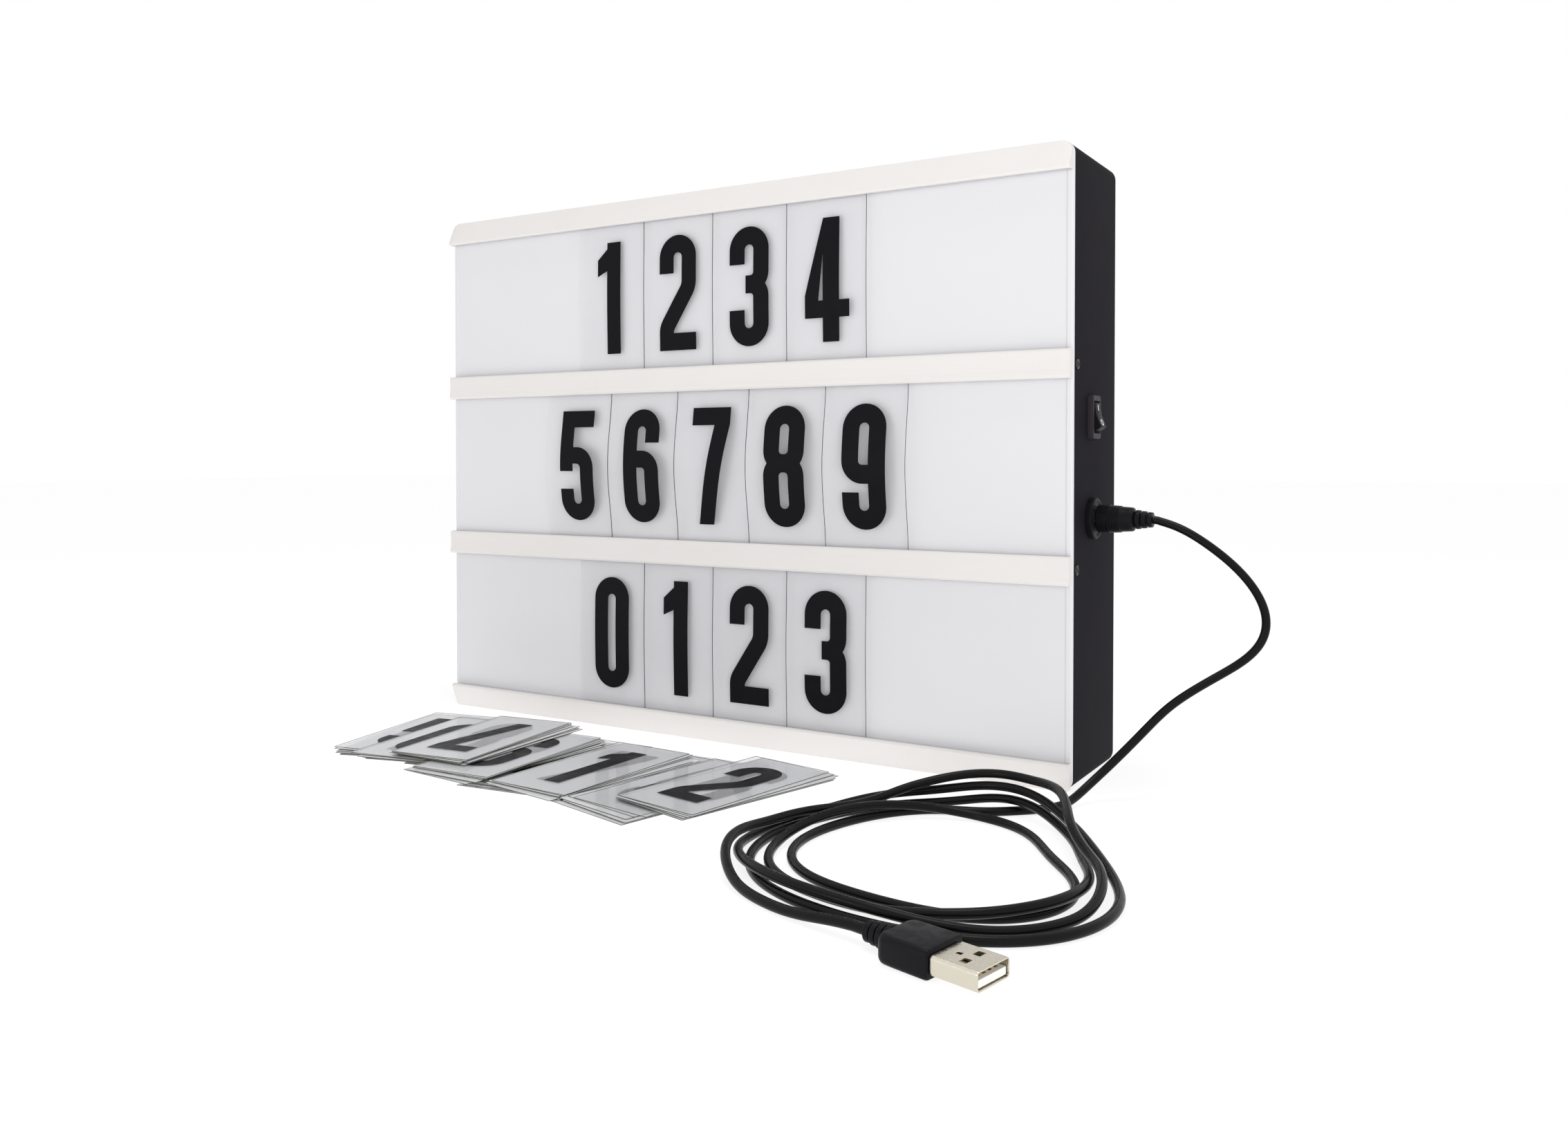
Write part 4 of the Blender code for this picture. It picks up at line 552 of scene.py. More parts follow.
def coil_plan():
    """The coil from above: a radius that grows with the angle, plus cosine waves, plus bell-shaped
    pulls, each at its own angle."""
    count = round((COIL_END - COIL_START) / 360 * TURN_POINTS)
    share = np.linspace(0, 1, count + 1)
    degrees = COIL_START + (COIL_END - COIL_START) * share
    angle = np.radians(degrees)
    radius = COIL_R + COIL_GROWTH * share
    for per_turn, size, crest in COIL_WAVES:
        radius = radius + size * MM * np.cos(per_turn * angle - math.radians(crest))
    for middle, size, reach in COIL_PULLS:
        radius = radius + size * MM * np.exp(-(((degrees - middle) / reach) ** 2))
    return LEAD_COIL + radius[:, None] * np.stack([np.cos(angle), np.sin(angle)], 1)


def lie_down(plan, lifted):
    """Heights of the cord along a plan: on the surface, or on an earlier stretch that it crosses,
    with a long low hump round each crossing."""
    along = along_lengths(plan)
    apart = np.linalg.norm(plan[:, None] - plan[None], axis=2)
    reach = 2 * CORD_R + CLEARANCE
    crosses = (apart < reach) & (along[:, None] - along[None] > 4 * reach)
    climb = np.where(crosses, np.sqrt(np.maximum(reach**2 - apart**2, 0)), 0)
    offset = np.abs(along[:, None] - along[None])
    hump = np.where(offset < HUMP_REACH, np.cos(0.5 * math.pi * offset / HUMP_REACH) ** 2, 0)
    height = lifted.copy()
    for _ in range(SETTLINGS):
        needed = np.where(crosses, height[None] + climb, CORD_R).max(axis=1)
        height = np.maximum(lifted, (CORD_R + (needed[None] - CORD_R) * hump).max(axis=1))
    return height


def lead_path():
    """The lead from its plug to the USB plug, within about 1 mm of its CAD solids. The free stretch
    and the lying coil are joined, spaced evenly, and eased by a moving mean over five points."""
    start = np.array([GRIP_END_X + GAP, JACK_Y, JACK_Z])
    route = np.vstack([start, start + [2 * CORD_R, 0, -0.0004], CORD_ROUTE])
    turn = math.radians(USB_TURN)
    heading = np.array([math.cos(turn), math.sin(turn)])
    plug = USB_PLACE[:2] - heading * GAP
    tail = [plug - heading * 4 * CORD_R, plug - heading * 2 * CORD_R, plug]
    plan = np.vstack([route[-2:, :2], coil_plan(), tail])
    plan = evenly(smooth_curve(plan, CURVE_PIECES), CORD_STEP)
    along = along_lengths(plan)
    angle = np.degrees(np.unwrap(np.arctan2(*(plan - LEAD_COIL).T[::-1])))
    start_index = int(np.argmin(np.linalg.norm(plan - coil_plan()[0], axis=1)))
    angle = angle + COIL_START - angle[start_index]
    arch_at = along[int(np.argmin(np.abs(angle - ARCH_ANGLE)))]
    arch = ARCH_HEIGHT * np.exp(-(((along - arch_at) / ARCH_REACH) ** 2))
    near_plug = np.clip((along - along[-1] + RISE_START) / RISE_LENGTH, 0, 1)
    rise = (USB_PLACE[2] - CORD_R) * near_plug**2 * (3 - 2 * near_plug)
    lying = np.column_stack([plan, lie_down(plan, CORD_R + arch + rise)])
    free = smooth_curve(route, CURVE_PIECES)
    lying = lying[np.linalg.norm(lying[:, :2] - free[-1, :2], axis=1).argmin() + 1 :]
    whole = evenly(np.vstack([free, lying]), LINE_STEP)
    eased = whole.copy()
    for _ in range(EASINGS):
        eased[2:-2] = (eased[:-4] + 2 * eased[1:-3] + 4 * eased[2:-2] + 2 * eased[3:-1] + eased[4:]) / 10
    into = eased[-1] + np.array([*heading, 0]) * (GAP + PLUG_INSET) * np.array([[0.5], [1.0]])
    return np.vstack([eased, into])


def make_lead():
    """The cord as one tube: 16 sides of a 2.8 mm round."""
    path = lead_path()
    cord = tube("power_lead", path, CORD_R, 16, [CORD_PVC])
    mount(cord, "lead", "black_pvc", "lead_cord", "lead_coil")
    return cord, path


power_lead, lead_line = make_lead()

# Plugs, socket, switch and screws


def ribbed(start, length, ribs, root, tail, neck):
    """Profile corners of a strain relief: ribs that narrow towards the cord, with necks between."""
    rib = np.arange(ribs)
    pitch = length / ribs
    near = start + length * rib / ribs
    radius = root + (tail - root) * rib / max(ribs - 1, 1)
    neck = np.full(ribs, neck)
    radii = np.stack([neck, neck, radius, radius - 0.00012], 1)
    places = np.stack([near, near + pitch * 0.22, near + pitch * 0.26, near + pitch * 0.96], 1)
    return np.column_stack([radii.ravel(), places.ravel()])


def make_dc_plug():
    """The moulded grip of the power plug, turned: a waisted body with five fine rings, a round
    shoulder and three ribs. And its plated barrel."""
    body_length, wide, narrow, ring_height = 0.0128, 0.0049, 0.0041, 0.00026
    body_end = GRIP_START_X + body_length
    ring = GRIP_START_X + 0.0040 + np.arange(5)[:, None] * 0.0009 + np.array([0, 0.00012, 0.00048, 0.0006])
    level = wide + (narrow - wide) / body_length * (ring - GRIP_START_X)
    level[:, 1:3] += ring_height
    fine = np.stack([level.ravel(), ring.ravel()], 1)
    body = np.array([(0.0040, GRIP_START_X), (wide, GRIP_START_X)])
    shoulder = [(0.0042, body_end - 0.0014), (narrow, body_end - 0.0004), (0.0030, body_end + 0.0001)]
    ribs = ribbed(body_end + 0.0001, 0.0061, 3, 0.00335, 0.0027, 0.0022)
    tip = [(0.0022, GRIP_END_X - 0.0001), (0.0016, GRIP_END_X)]
    corners = np.vstack([body, fine, shoulder, ribs[1:], tip])
    rounding = np.full(len(corners), 0.00007)
    rounding[1] = 0.0005
    shoulder_at = len(body) + len(fine)
    rounding[shoulder_at : shoulder_at + 2] = (0.0005, 0.0007)
    rounding[-len(ribs) - 1 : -2] = 0.00014
    profile = rounded_line(corners, rounding, 4, closed=False)
    grip = turned("power_plug_grip", profile, (0, JACK_Y, JACK_Z), (1, 0, 0), 48, [GRIP_PVC], sharp=50)
    mount(grip, "lead", "black_pvc", "dc_plug_grip")
    low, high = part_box("dc_plug_barrel")
    radius = (high.z - low.z) / 2
    barrel = [
        (0.0004, low.x + 0.0060),
        (0.0013, low.x + 0.0060),
        (0.0013, low.x + 0.0003),
        (radius - 0.0003, low.x),
        (radius, low.x + 0.0003),
        (radius, high.x),
        (0.0004, high.x),
    ]
    plated = turned("power_plug_barrel", barrel, (0, JACK_Y, JACK_Z), (1, 0, 0), 32, [NICKEL])
    mount(plated, "lead", "nickel", "dc_plug_barrel")
    return grip, plated


def with_blades(name, body, back, length, middle, apart, half):
    """A body joined with two blade terminals at its back. middle, apart and half are numbers along
    Y and Z: the place between the blades, each one's distance from it, and half its section."""
    parts = [body]
    for side in (-1, 1):
        place = np.array([back, *(np.array(middle) + side * np.array(apart))])
        low, high = place - [length, *half], place + [0.0002, *half]
        flat = rectangle(*(high - low)[:2], centre=(high + low)[:2] / 2)
        parts.append(loft("blade", [set_at(flat, 2, z) for z in (low[2], high[2])], [NICKEL]))
    return joined(name, parts)


def make_socket():
    """The socket, turned: a flange with a raised rim round a lower face, a bore, and a barrel."""
    face = SIDE_X + GAP + 0.0020
    back = face - 0.0130
    corners = [
        (0.0005, face - 0.0110),
        (0.0031, face - 0.0110),
        (0.0031, face - 0.0005),
        (0.0036, face - 0.0004),
        (0.0058, face - 0.0004),
        (0.0062, face),
        (0.0072, face),
        (0.0073, SEAT_X),
        (0.0053, SEAT_X),
        (0.0053, back),
        (0.0005, back),
    ]
    rounding = [0, 0, 0.0002, 0.0001, 0.0002, 0.0003, 0.0005, 0.0001, 0.0001, 0.0003, 0]
    profile = rounded_line(corners, rounding, 4, closed=False)
    socket = turned("power_socket", profile, (0, JACK_Y, JACK_Z), (1, 0, 0), 64, [FINE_NYLON])
    middle, apart, half = (JACK_Y, JACK_Z), (0.0053 / 2, 0), (0.0004, 0.0015)
    made = with_blades("power_socket", socket, back, 0.0040, middle, apart, half)
    return mount(made, "light_box", "black_nylon", "dc_socket")


def turn_about_y(points, degrees):
    """Points turned about the Y axis through the origin."""
    turn = math.radians(degrees)
    x, y, z = points[..., 0], points[..., 1], points[..., 2]
    c, s = math.cos(turn), math.sin(turn)
    return np.stack([x * c + z * s, y, -x * s + z * c], -1)


def make_switch():
    """The switch's housing: outlines from the pocket's floor, over the bezel, to the body's end."""
    face, back = SIDE_X + GAP + 0.0018, SIDE_X - 0.0125
    bezel = rounded_line(rectangle(0.0088, 0.0152), 0.0009, 5)
    soft = rounded_line(rectangle(0.0080, 0.0144), 0.0007, 5)
    mouth = rounded_line(rectangle(0.0072, 0.0114), 0.0004, 5)
    pocket = rounded_line(rectangle(0.0069, 0.0111), 0.0003, 5)
    body = rounded_line(rectangle(0.0082, 0.0136), 0.0004, 5)
    rows = (
        (pocket, PIVOT_X - 0.0039),
        (pocket, face - 0.0003),
        (mouth, face),
        (soft, face),
        ((bezel + soft) / 2 + (bezel - soft) * 0.25, face - 0.00012),
        (bezel, face - 0.0004),
        (bezel, SEAT_X),
        (body, SEAT_X),
        (body, back),
    )
    rings = [set_at(line + [SWITCH_Y, SWITCH_Z], 0, x) for line, x in rows]
    housing = loft("switch_bezel", rings, [NYLON])
    middle, apart, half = (SWITCH_Y, SWITCH_Z), (0, 0.0035), (0.0024, 0.0004)
    made = with_blades("switch_bezel", housing, back, 0.0060, middle, apart, half)
    return mount(made, "light_box", "black_nylon", "switch_housing")


ROCKER_R, ROCKER_HALF, ROCKER_EDGE = 0.0052, 0.0032, 0.00022
ROCKER_CORNER, ROCKER_BACK = 56, 115
VALLEY = np.array([0.0024, 0.0])
MARK_LIFT, MARK_T = 0.00002, 0.00003


def rocker_face(share, lift):
    """A point on the rocker's V-shaped top: share -1 is its lower end, 1 its upper."""
    corner = math.radians(ROCKER_CORNER)
    tip = np.array([ROCKER_R * math.cos(corner), ROCKER_R * math.sin(corner)])
    out = (tip - VALLEY) / np.linalg.norm(tip - VALLEY)
    normal = np.array([out[1], -out[0]])
    share = np.asarray(share, float)[..., None]
    point = VALLEY + np.abs(share) * (tip - VALLEY) + normal * lift
    return point * np.where(share < 0, np.array([1, -1]), np.array([1, 1]))


def place_on_switch(points):
    """Points drawn about the level rocker's pivot, tilted and set in the switch."""
    return turn_about_y(points, ROCKER_TILT) + [PIVOT_X, SWITCH_Y, SWITCH_Z]


def make_rocker():
    """The rocker: a sector about its pivot with a shallow V on top, drawn level and then tilted.
    Its white marks are a bar above and a ring below."""
    upper = np.radians(np.linspace(ROCKER_CORNER, ROCKER_BACK, 9))
    arcs = [ROCKER_R * np.stack([np.cos(a), np.sin(a)], 1) for a in (upper, -upper[::-1])]
    foot = [(-0.0016, 0.0030), (-0.0016, -0.0030)]
    line = np.vstack([VALLEY, arcs[0], foot, arcs[1]])
    shrunk = line * (1 - ROCKER_EDGE / ROCKER_R)
    inner = ROCKER_HALF - ROCKER_EDGE
    rows = ((shrunk, -ROCKER_HALF), (line, -inner), (line, inner), (shrunk, ROCKER_HALF))
    rings = np.stack([set_at(flat, 1, y) for flat, y in rows])
    rocker = loft("switch_rocker", place_on_switch(rings), [FINE_NYLON], sharp=28)
    mount(rocker, "rocker", "black_nylon", "rocker")
    make_marks()


def make_marks():
    """The bar, two points wide along the upper face, and the ring, an ellipse on the lower one.
    Each is given the thickness of its ink."""
    line = np.repeat(rocker_face(np.linspace(0.40, 0.86, 5), MARK_LIFT)[:, None], 2, axis=1)
    sides = np.tile([-0.00034, 0.00034], (5, 1))
    bar_points = place_on_switch(np.stack([line[..., 0], sides, line[..., 1]], -1))
    first = piece("mark_bar", bar_points.reshape(-1, 3), cells(5, 2), [MARK])
    across = np.array([[0.00118], [0.00070]]) * circle(32)[:, None]
    line = rocker_face(-0.62 + across[..., 1] / 0.00433, MARK_LIFT)
    ring_points = place_on_switch(np.stack([line[..., 0], across[..., 0], line[..., 1]], -1))
    second = piece("mark_ring", ring_points.reshape(-1, 3), cells(32, 2, wrap_rows=True), [MARK])
    marks = joined("switch_marks", [first, second])
    ink = marks.modifiers.new("ink", "SOLIDIFY")
    ink.thickness = MARK_T
    ink.offset = 0
    mount(marks, "rocker", "white_plastic")


SCREW_HEAD = np.array([0.00004, *np.arange(0.0002, 0.0017, 0.0002).round(4), 0.00174, 0.0018])
SCREW_SHANK = np.array([(0.0018, 0.0), (0.0010, 0.0), (0.0010, -0.0075), (0.0003, -0.0085)])
HEAD_H, HEAD_FALL, HEAD_RIM = 0.0008, 0.00045, 0.0002
CROSS_HALF, CROSS_REACH, CROSS_DEPTH = 0.00036, 0.00125, 0.0005
CROSS_WALL, CROSS_END = 0.00018, 0.0003


def make_screws():
    """Pan heads: height falls with the square of the radius, and a cross with tapered walls is
    pressed in. The shank follows as four more rings."""
    height = HEAD_H - HEAD_FALL * (SCREW_HEAD / SCREW_HEAD[-1]) ** 2
    height[-1] = HEAD_RIM
    radius = np.append(SCREW_HEAD, SCREW_SHANK[:, 0])[:, None]
    height = np.append(height, SCREW_SHANK[:, 1])[:, None]
    in_head = np.arange(len(radius))[:, None] < len(SCREW_HEAD)
    for side, word in ((-1, "left"), (1, "right")):
        across = radius[..., None] * circle(64, 0.3 * side)
        for row, level in ((1, "lower"), (2, "upper")):
            centre = sum(box_of(f"{word}_{level}_screw")) / 2
            lean = 0.5 + row
            turn = np.array([[math.cos(lean), -math.sin(lean)], [math.sin(lean), math.cos(lean)]])
            arms = np.abs(across @ turn).min(axis=2)
            pressed = np.clip((CROSS_HALF - arms) / CROSS_WALL, 0, 1)
            pressed = pressed * np.clip((CROSS_REACH - radius) / CROSS_END, 0, 1) * in_head
            out = SEAT_X + height - CROSS_DEPTH * pressed
            rings = np.stack([side * out, centre[1] + across[..., 0], centre[2] + across[..., 1]], -1)
            screw = loft(f"{word}_{level}_side_screw", rings, [SCREW_STEEL], sharp=25)
            mount(screw, "light_box", "screw_steel", f"{word}_{level}_screw")


def on_usb(points):
    """Points of the USB plug's own frame, where +X leaves the cord, set on the surface."""
    return laid(points, USB_PLACE, math.radians(USB_TURN))


def box_loft(name, stations, made, sharp=35):
    """Rounded rectangles (distance along, width, height, corner radius) skinned along the plug."""
    rings = []
    for x, width, height, radius in stations:
        line = rounded_line(rectangle(width, height), radius, 6)
        rings.append(set_at(line, 0, x))
    return loft(name, on_usb(np.stack(rings)), [made], sharp=sharp)


def make_usb_plug():
    """The USB plug: a moulded grip with round shoulders and a ribbed relief, a folded shell with
    its windows, and a white tongue with four contacts."""
    start, end = 0.0108, 0.0253
    t = np.linspace(0, 1, 8)
    shoulder_x = start + 0.0026 * (1 - np.cos(np.pi * t / 2))
    shoulder = 1 - np.sin(np.pi * t / 2)
    sizes = np.array([0.0140, 0.0070, 0.0017]) - shoulder[:, None] * [0.0046, 0.0016, 0.0002]
    stations = [(x, *size) for x, size in zip(shoulder_x, sizes)]
    stations += [(start + 0.006, 0.01400, 0.0070, 0.0015), (end - 0.0007, 0.0139, 0.0070, 0.0013)]
    stations += [(end - 0.0002, 0.0136, 0.0067, 0.0012), (end, 0.0130, 0.0061, 0.0010)]
    grip = box_loft("usb_grip_body", stations, GRIP_PVC)
    ribs = ribbed(PLUG_INSET, start - PLUG_INSET + 0.0002, 4, 0.0026, 0.0033, 0.0021)
    corners = np.vstack([[(0.0010, PLUG_INSET), (0.0021, PLUG_INSET)], ribs[1:], [(0.0015, start + 0.0004)]])
    profile = rounded_line(corners, np.where(np.arange(len(corners)) > 0, 0.00016, 0), 4, closed=False)
    turn = math.radians(USB_TURN)
    heading = (math.cos(turn), math.sin(turn), 0)
    relief = turned("usb_relief", profile, USB_PLACE, heading, 40, [GRIP_PVC], sharp=50)
    both = joined("usb_plug_overmould", [grip, relief])
    mount(both, "lead", "black_pvc", "usb_plug_grip")
    shell = make_usb_shell(end + GAP)
    tongue = make_usb_tongue(end + GAP)
    return both, shell, tongue


def make_usb_shell(start):
    """The shell: a rounded rectangle carried along the plug, its windows left out of the grid, and
    then given the sheet's thickness."""
    length = 0.0125
    wall = 0.00035
    line = rounded_line(rectangle(0.0120 - wall, 0.0045 - wall), 0.00065, 5)
    flat = []
    for here, there in zip(line, np.roll(line, -1, axis=0)):
        pieces = (1, 6, 24)[np.searchsorted([0.002, 0.006], np.linalg.norm(there - here))]
        flat.append(here + (there - here) * np.linspace(0, 1, pieces, endpoint=False)[:, None])
    flat = np.vstack(flat)
    steps = np.linspace(0, length, 26)
    grid = np.stack([set_at(flat, 0, start + x) for x in steps])
    faces = cells(len(steps), len(flat), wrap_columns=True)
    points = grid.reshape(-1, 3)
    middle = points[faces].mean(axis=1)
    on_top = middle[:, 2] > 0.0018
    along = middle[:, 0] - start
    window = (np.abs(np.abs(middle[:, 1]) - 0.00255) < 0.00115) & (np.abs(along - 0.0070) < 0.0011)
    notch = (np.abs(middle[:, 1] + 0.0002) < 0.0007) & (np.abs(along - 0.0037) < 0.0008)
    faces = faces[~(on_top & (window | notch))]
    shell = piece("usb_plug_shell", on_usb(points), faces, [NICKEL])
    sheet = shell.modifiers.new("sheet_thickness", "SOLIDIFY")
    sheet.thickness = wall
    sheet.offset = 0
    softly(shell, 0.00006, 60)
    mount(shell, "lead", "nickel", "usb_shell")
    return shell


def make_usb_tongue(start):
    """The tongue: a white bar low in the shell, with four contacts in its grooves."""
    low_z = -0.00225 + 0.0004 + GAP
    centre = np.array([0, low_z + 0.0009])
    flat = rounded_line(rectangle(0.0106, 0.0018, centre=centre), 0.0002, 3)
    rings = [set_at(flat, 0, start + x) for x in (0.0007, 0.0118, 0.0121)]
    rings[2][:, 1:] = (flat - centre) * 0.96 + centre
    parts = [loft("tongue_body", on_usb(np.stack(rings)), [TONGUE_PBT])]
    for number in range(4):
        y = (number - 1.5) * 0.0022
        flat = rounded_line(rectangle(0.0010, 0.0003, centre=(y, low_z + 0.0018)), 0.0001, 2)
        rings = [set_at(flat, 0, start + x) for x in (0.0012, 0.0110)]
        parts.append(loft("contact", on_usb(np.stack(rings)), [GOLD]))
    tongue = joined("usb_plug_tongue", parts)
    mount(tongue, "lead", "white_plastic", "usb_tongue")
    return tongue


power_plug, power_barrel = make_dc_plug()
make_socket()
make_switch()
make_rocker()
make_screws()
usb_pieces = make_usb_plug()

# Casing, front panel and rails


def make_casing():
    """The casing and its door have the CAD's own shapes, shaded smoothly."""
    rows = (("rear_casing", "back_casing", "light_box"), ("battery_door", "battery_cover", "battery_door"))
    for node, name, body in rows:
        mount(smooth_copy(node, name, [BLACK_ABS]), body, "black_plastic", node)


def make_front_panel():
    """The opal front: outlines of the box, set in by a distance and set back by a depth, from the
    middle of the sunk field, over the rim, round the edge, and along the skirt."""
    width, height, corner = 2 * SIDE_X, BOX_H, 0.004
    plate = FRONT_Y + 0.0015
    rim = [(0.0027, 0.0004), (0.0024, 0.00034), (0.0022, 0.00006), (0.0020, 0)]
    rim = [(inset, FRONT_Y + sunk) for inset, sunk in rim]
    turn = np.linspace(0, np.pi / 2, 7)
    edge = np.stack([0.0008 * (1 - np.sin(turn)), FRONT_Y + 0.0008 * (1 - np.cos(turn))], 1)
    deep = plate + 0.0105
    skirt = [(0.0, plate), (0.0023, plate), (0.0023, deep), (0.0039, deep), (0.0039, plate)]
    rings = []
    for inset, y in [*rim, *edge, *skirt]:
        flat = rectangle(width - 2 * inset, height - 2 * inset, (0, height / 2))
        line = rounded_line(flat, max(corner - inset, 0.0006), 8)
        rings.append(set_at(line, 1, y))
    panel = loft("opal_front", np.stack(rings), [OPAL], sharp=40)
    return mount(panel, "light_box", "opal_plastic", "front_panel")


RAIL_OUT, SLOT_W, SLOT_DEPTH = 0.0036, 0.0015, 0.0035
END_WALL, END_STEP = 0.0003, 0.00002


def make_rail(node, name, corners, rounding, outer=None, reach=0.004, short=0.0):
    """A rail: its section, with round corners, carried from end to end. At the box's corners the
    section's height follows the corner's arc, from outer's first level to its second. The slot is
    closed by a thin wall at each end, but stays open at a left end that is shorter."""
    end = SIDE_X - 0.0002
    line = rounded_line(corners, rounding, 4)
    near = end - np.append(0.0, reach * (1 - np.cos(np.linspace(np.pi / 16, np.pi / 2, 8))))
    near = np.sort(np.append(near, [end - END_WALL + END_STEP, end - END_WALL - END_STEP]))[::-1]
    stations = np.concatenate([-near, near[::-1]])
    places = np.where(stations < 0, stations + short, stations)
    rings = np.stack([set_at(line, 0, x) for x in places])
    walled = np.abs(stations) > end - END_WALL
    if short:
        walled &= stations > 0
    in_slot = np.abs(line[:, 0] - (FRONT_Y - GAP - SLOT_W)) < 0.00025
    rings[np.ix_(walled, in_slot, [1])] = FRONT_Y - GAP
    if outer is not None:
        root, edge = outer
        inside = np.clip(reach - (end - np.abs(stations)), 0, reach)
        drop = reach - np.sqrt(np.maximum(reach**2 - inside**2, 0))
        share = (rings[..., 2] - root) / (edge - root)
        rings[..., 2] -= np.sign(edge - root) * drop[:, None] * np.clip(share, 0, 1)
    rail = loft(name, rings, [WHITE_PVC], sharp=30)
    softly(rail, 0.00025, 55)
    return mount(rail, "light_box", "white_plastic", node)


def make_rails():
    """Wedges above and below, and two T sections whose faces are slightly hollow."""
    back = FRONT_Y - GAP
    slot = back - SLOT_W
    front = FRONT_Y - RAIL_OUT
    outer_rails = (("top", BOX_H, -1, 0.004, 0.0), ("bottom", 0.0, 1, 0.002, 0.0010))
    for word, edge, inward, reach, short in outer_rails:
        lip = edge + inward * RAIL_H
        root = lip - inward * SLOT_DEPTH
        corners = [(back, root), (back, edge), (back - 0.0006, edge), (front, lip - inward * 0.0007)]
        corners += [(front + 0.0005, lip), (slot, lip), (slot, root)]
        rounding = [0.0001, 0.0001, 0.0005, 0.0004, 0.0003, 0.0002, 0.0002]
        make_rail(f"{word}_rail", f"{word}_card_rail", corners, rounding, (root, edge), reach, short)
    for number, word in enumerate(("lower", "upper"), 1):
        low = number * (WINDOW_H + RAIL_H)
        high = low + RAIL_H
        corners = [
            (back, low + SLOT_DEPTH),
            (back, high - SLOT_DEPTH),
            (slot, high - SLOT_DEPTH),
            (slot, high),
            (front + 0.0009, high),
            (front + 0.0003, high - 0.0007),
            (front + 0.0006, low + 0.0062),
            (front + 0.0005, low + 0.0030),
            (front, low + 0.0008),
            (front + 0.0007, low),
            (slot, low),
            (slot, low + SLOT_DEPTH),
        ]
        rounding = [0.0001, 0.0001, 0.0002, 0.0002, 0.0003, 0.0005]
        rounding += [0.004, 0.003, 0.0006, 0.0004, 0.0002, 0.0002]
        make_rail(f"{word}_rail", f"{word}_card_rail", corners, rounding)


make_casing()
make_front_panel()
make_rails()

# Digits

DIGIT_W, DIGIT_H, STROKE = 11.0, 39.5, 3.5


def ribbon(line, closed=False):
    """Four-cornered cells of a stroke: each point of the line moved to both sides by half the
    stroke, along the mean normal there, longer where the line turns."""
    line = np.asarray(line, float)
    keep = np.append(True, np.linalg.norm(np.diff(line, axis=0), axis=1) > 1e-6)
    line = line[keep]
    if closed:
        around = np.vstack([line[-1:], line, line[:1]])
    else:
        around = np.vstack([2 * line[0] - line[1], line, 2 * line[-1] - line[-2]])
    came, goes = around[1:-1] - around[:-2], around[2:] - around[1:-1]
    came /= np.linalg.norm(came, axis=1, keepdims=True)
    goes /= np.linalg.norm(goes, axis=1, keepdims=True)
    mean = came + goes
    mean /= np.linalg.norm(mean, axis=1, keepdims=True)
    normal = np.stack([-mean[:, 1], mean[:, 0]], 1) / (mean * goes).sum(axis=1, keepdims=True)
    left, right = line + normal * STROKE, line - normal * STROKE
    if closed:
        left, right = np.vstack([left, left[:1]]), np.vstack([right, right[:1]])
    return list(np.stack([right[:-1], right[1:], left[1:], left[:-1]], 1))


def bar(x0, z0, x1, z1):
    """The one cell of a straight stroke."""
    return [np.array([(x0, z0), (x1, z0), (x1, z1), (x0, z1)])]


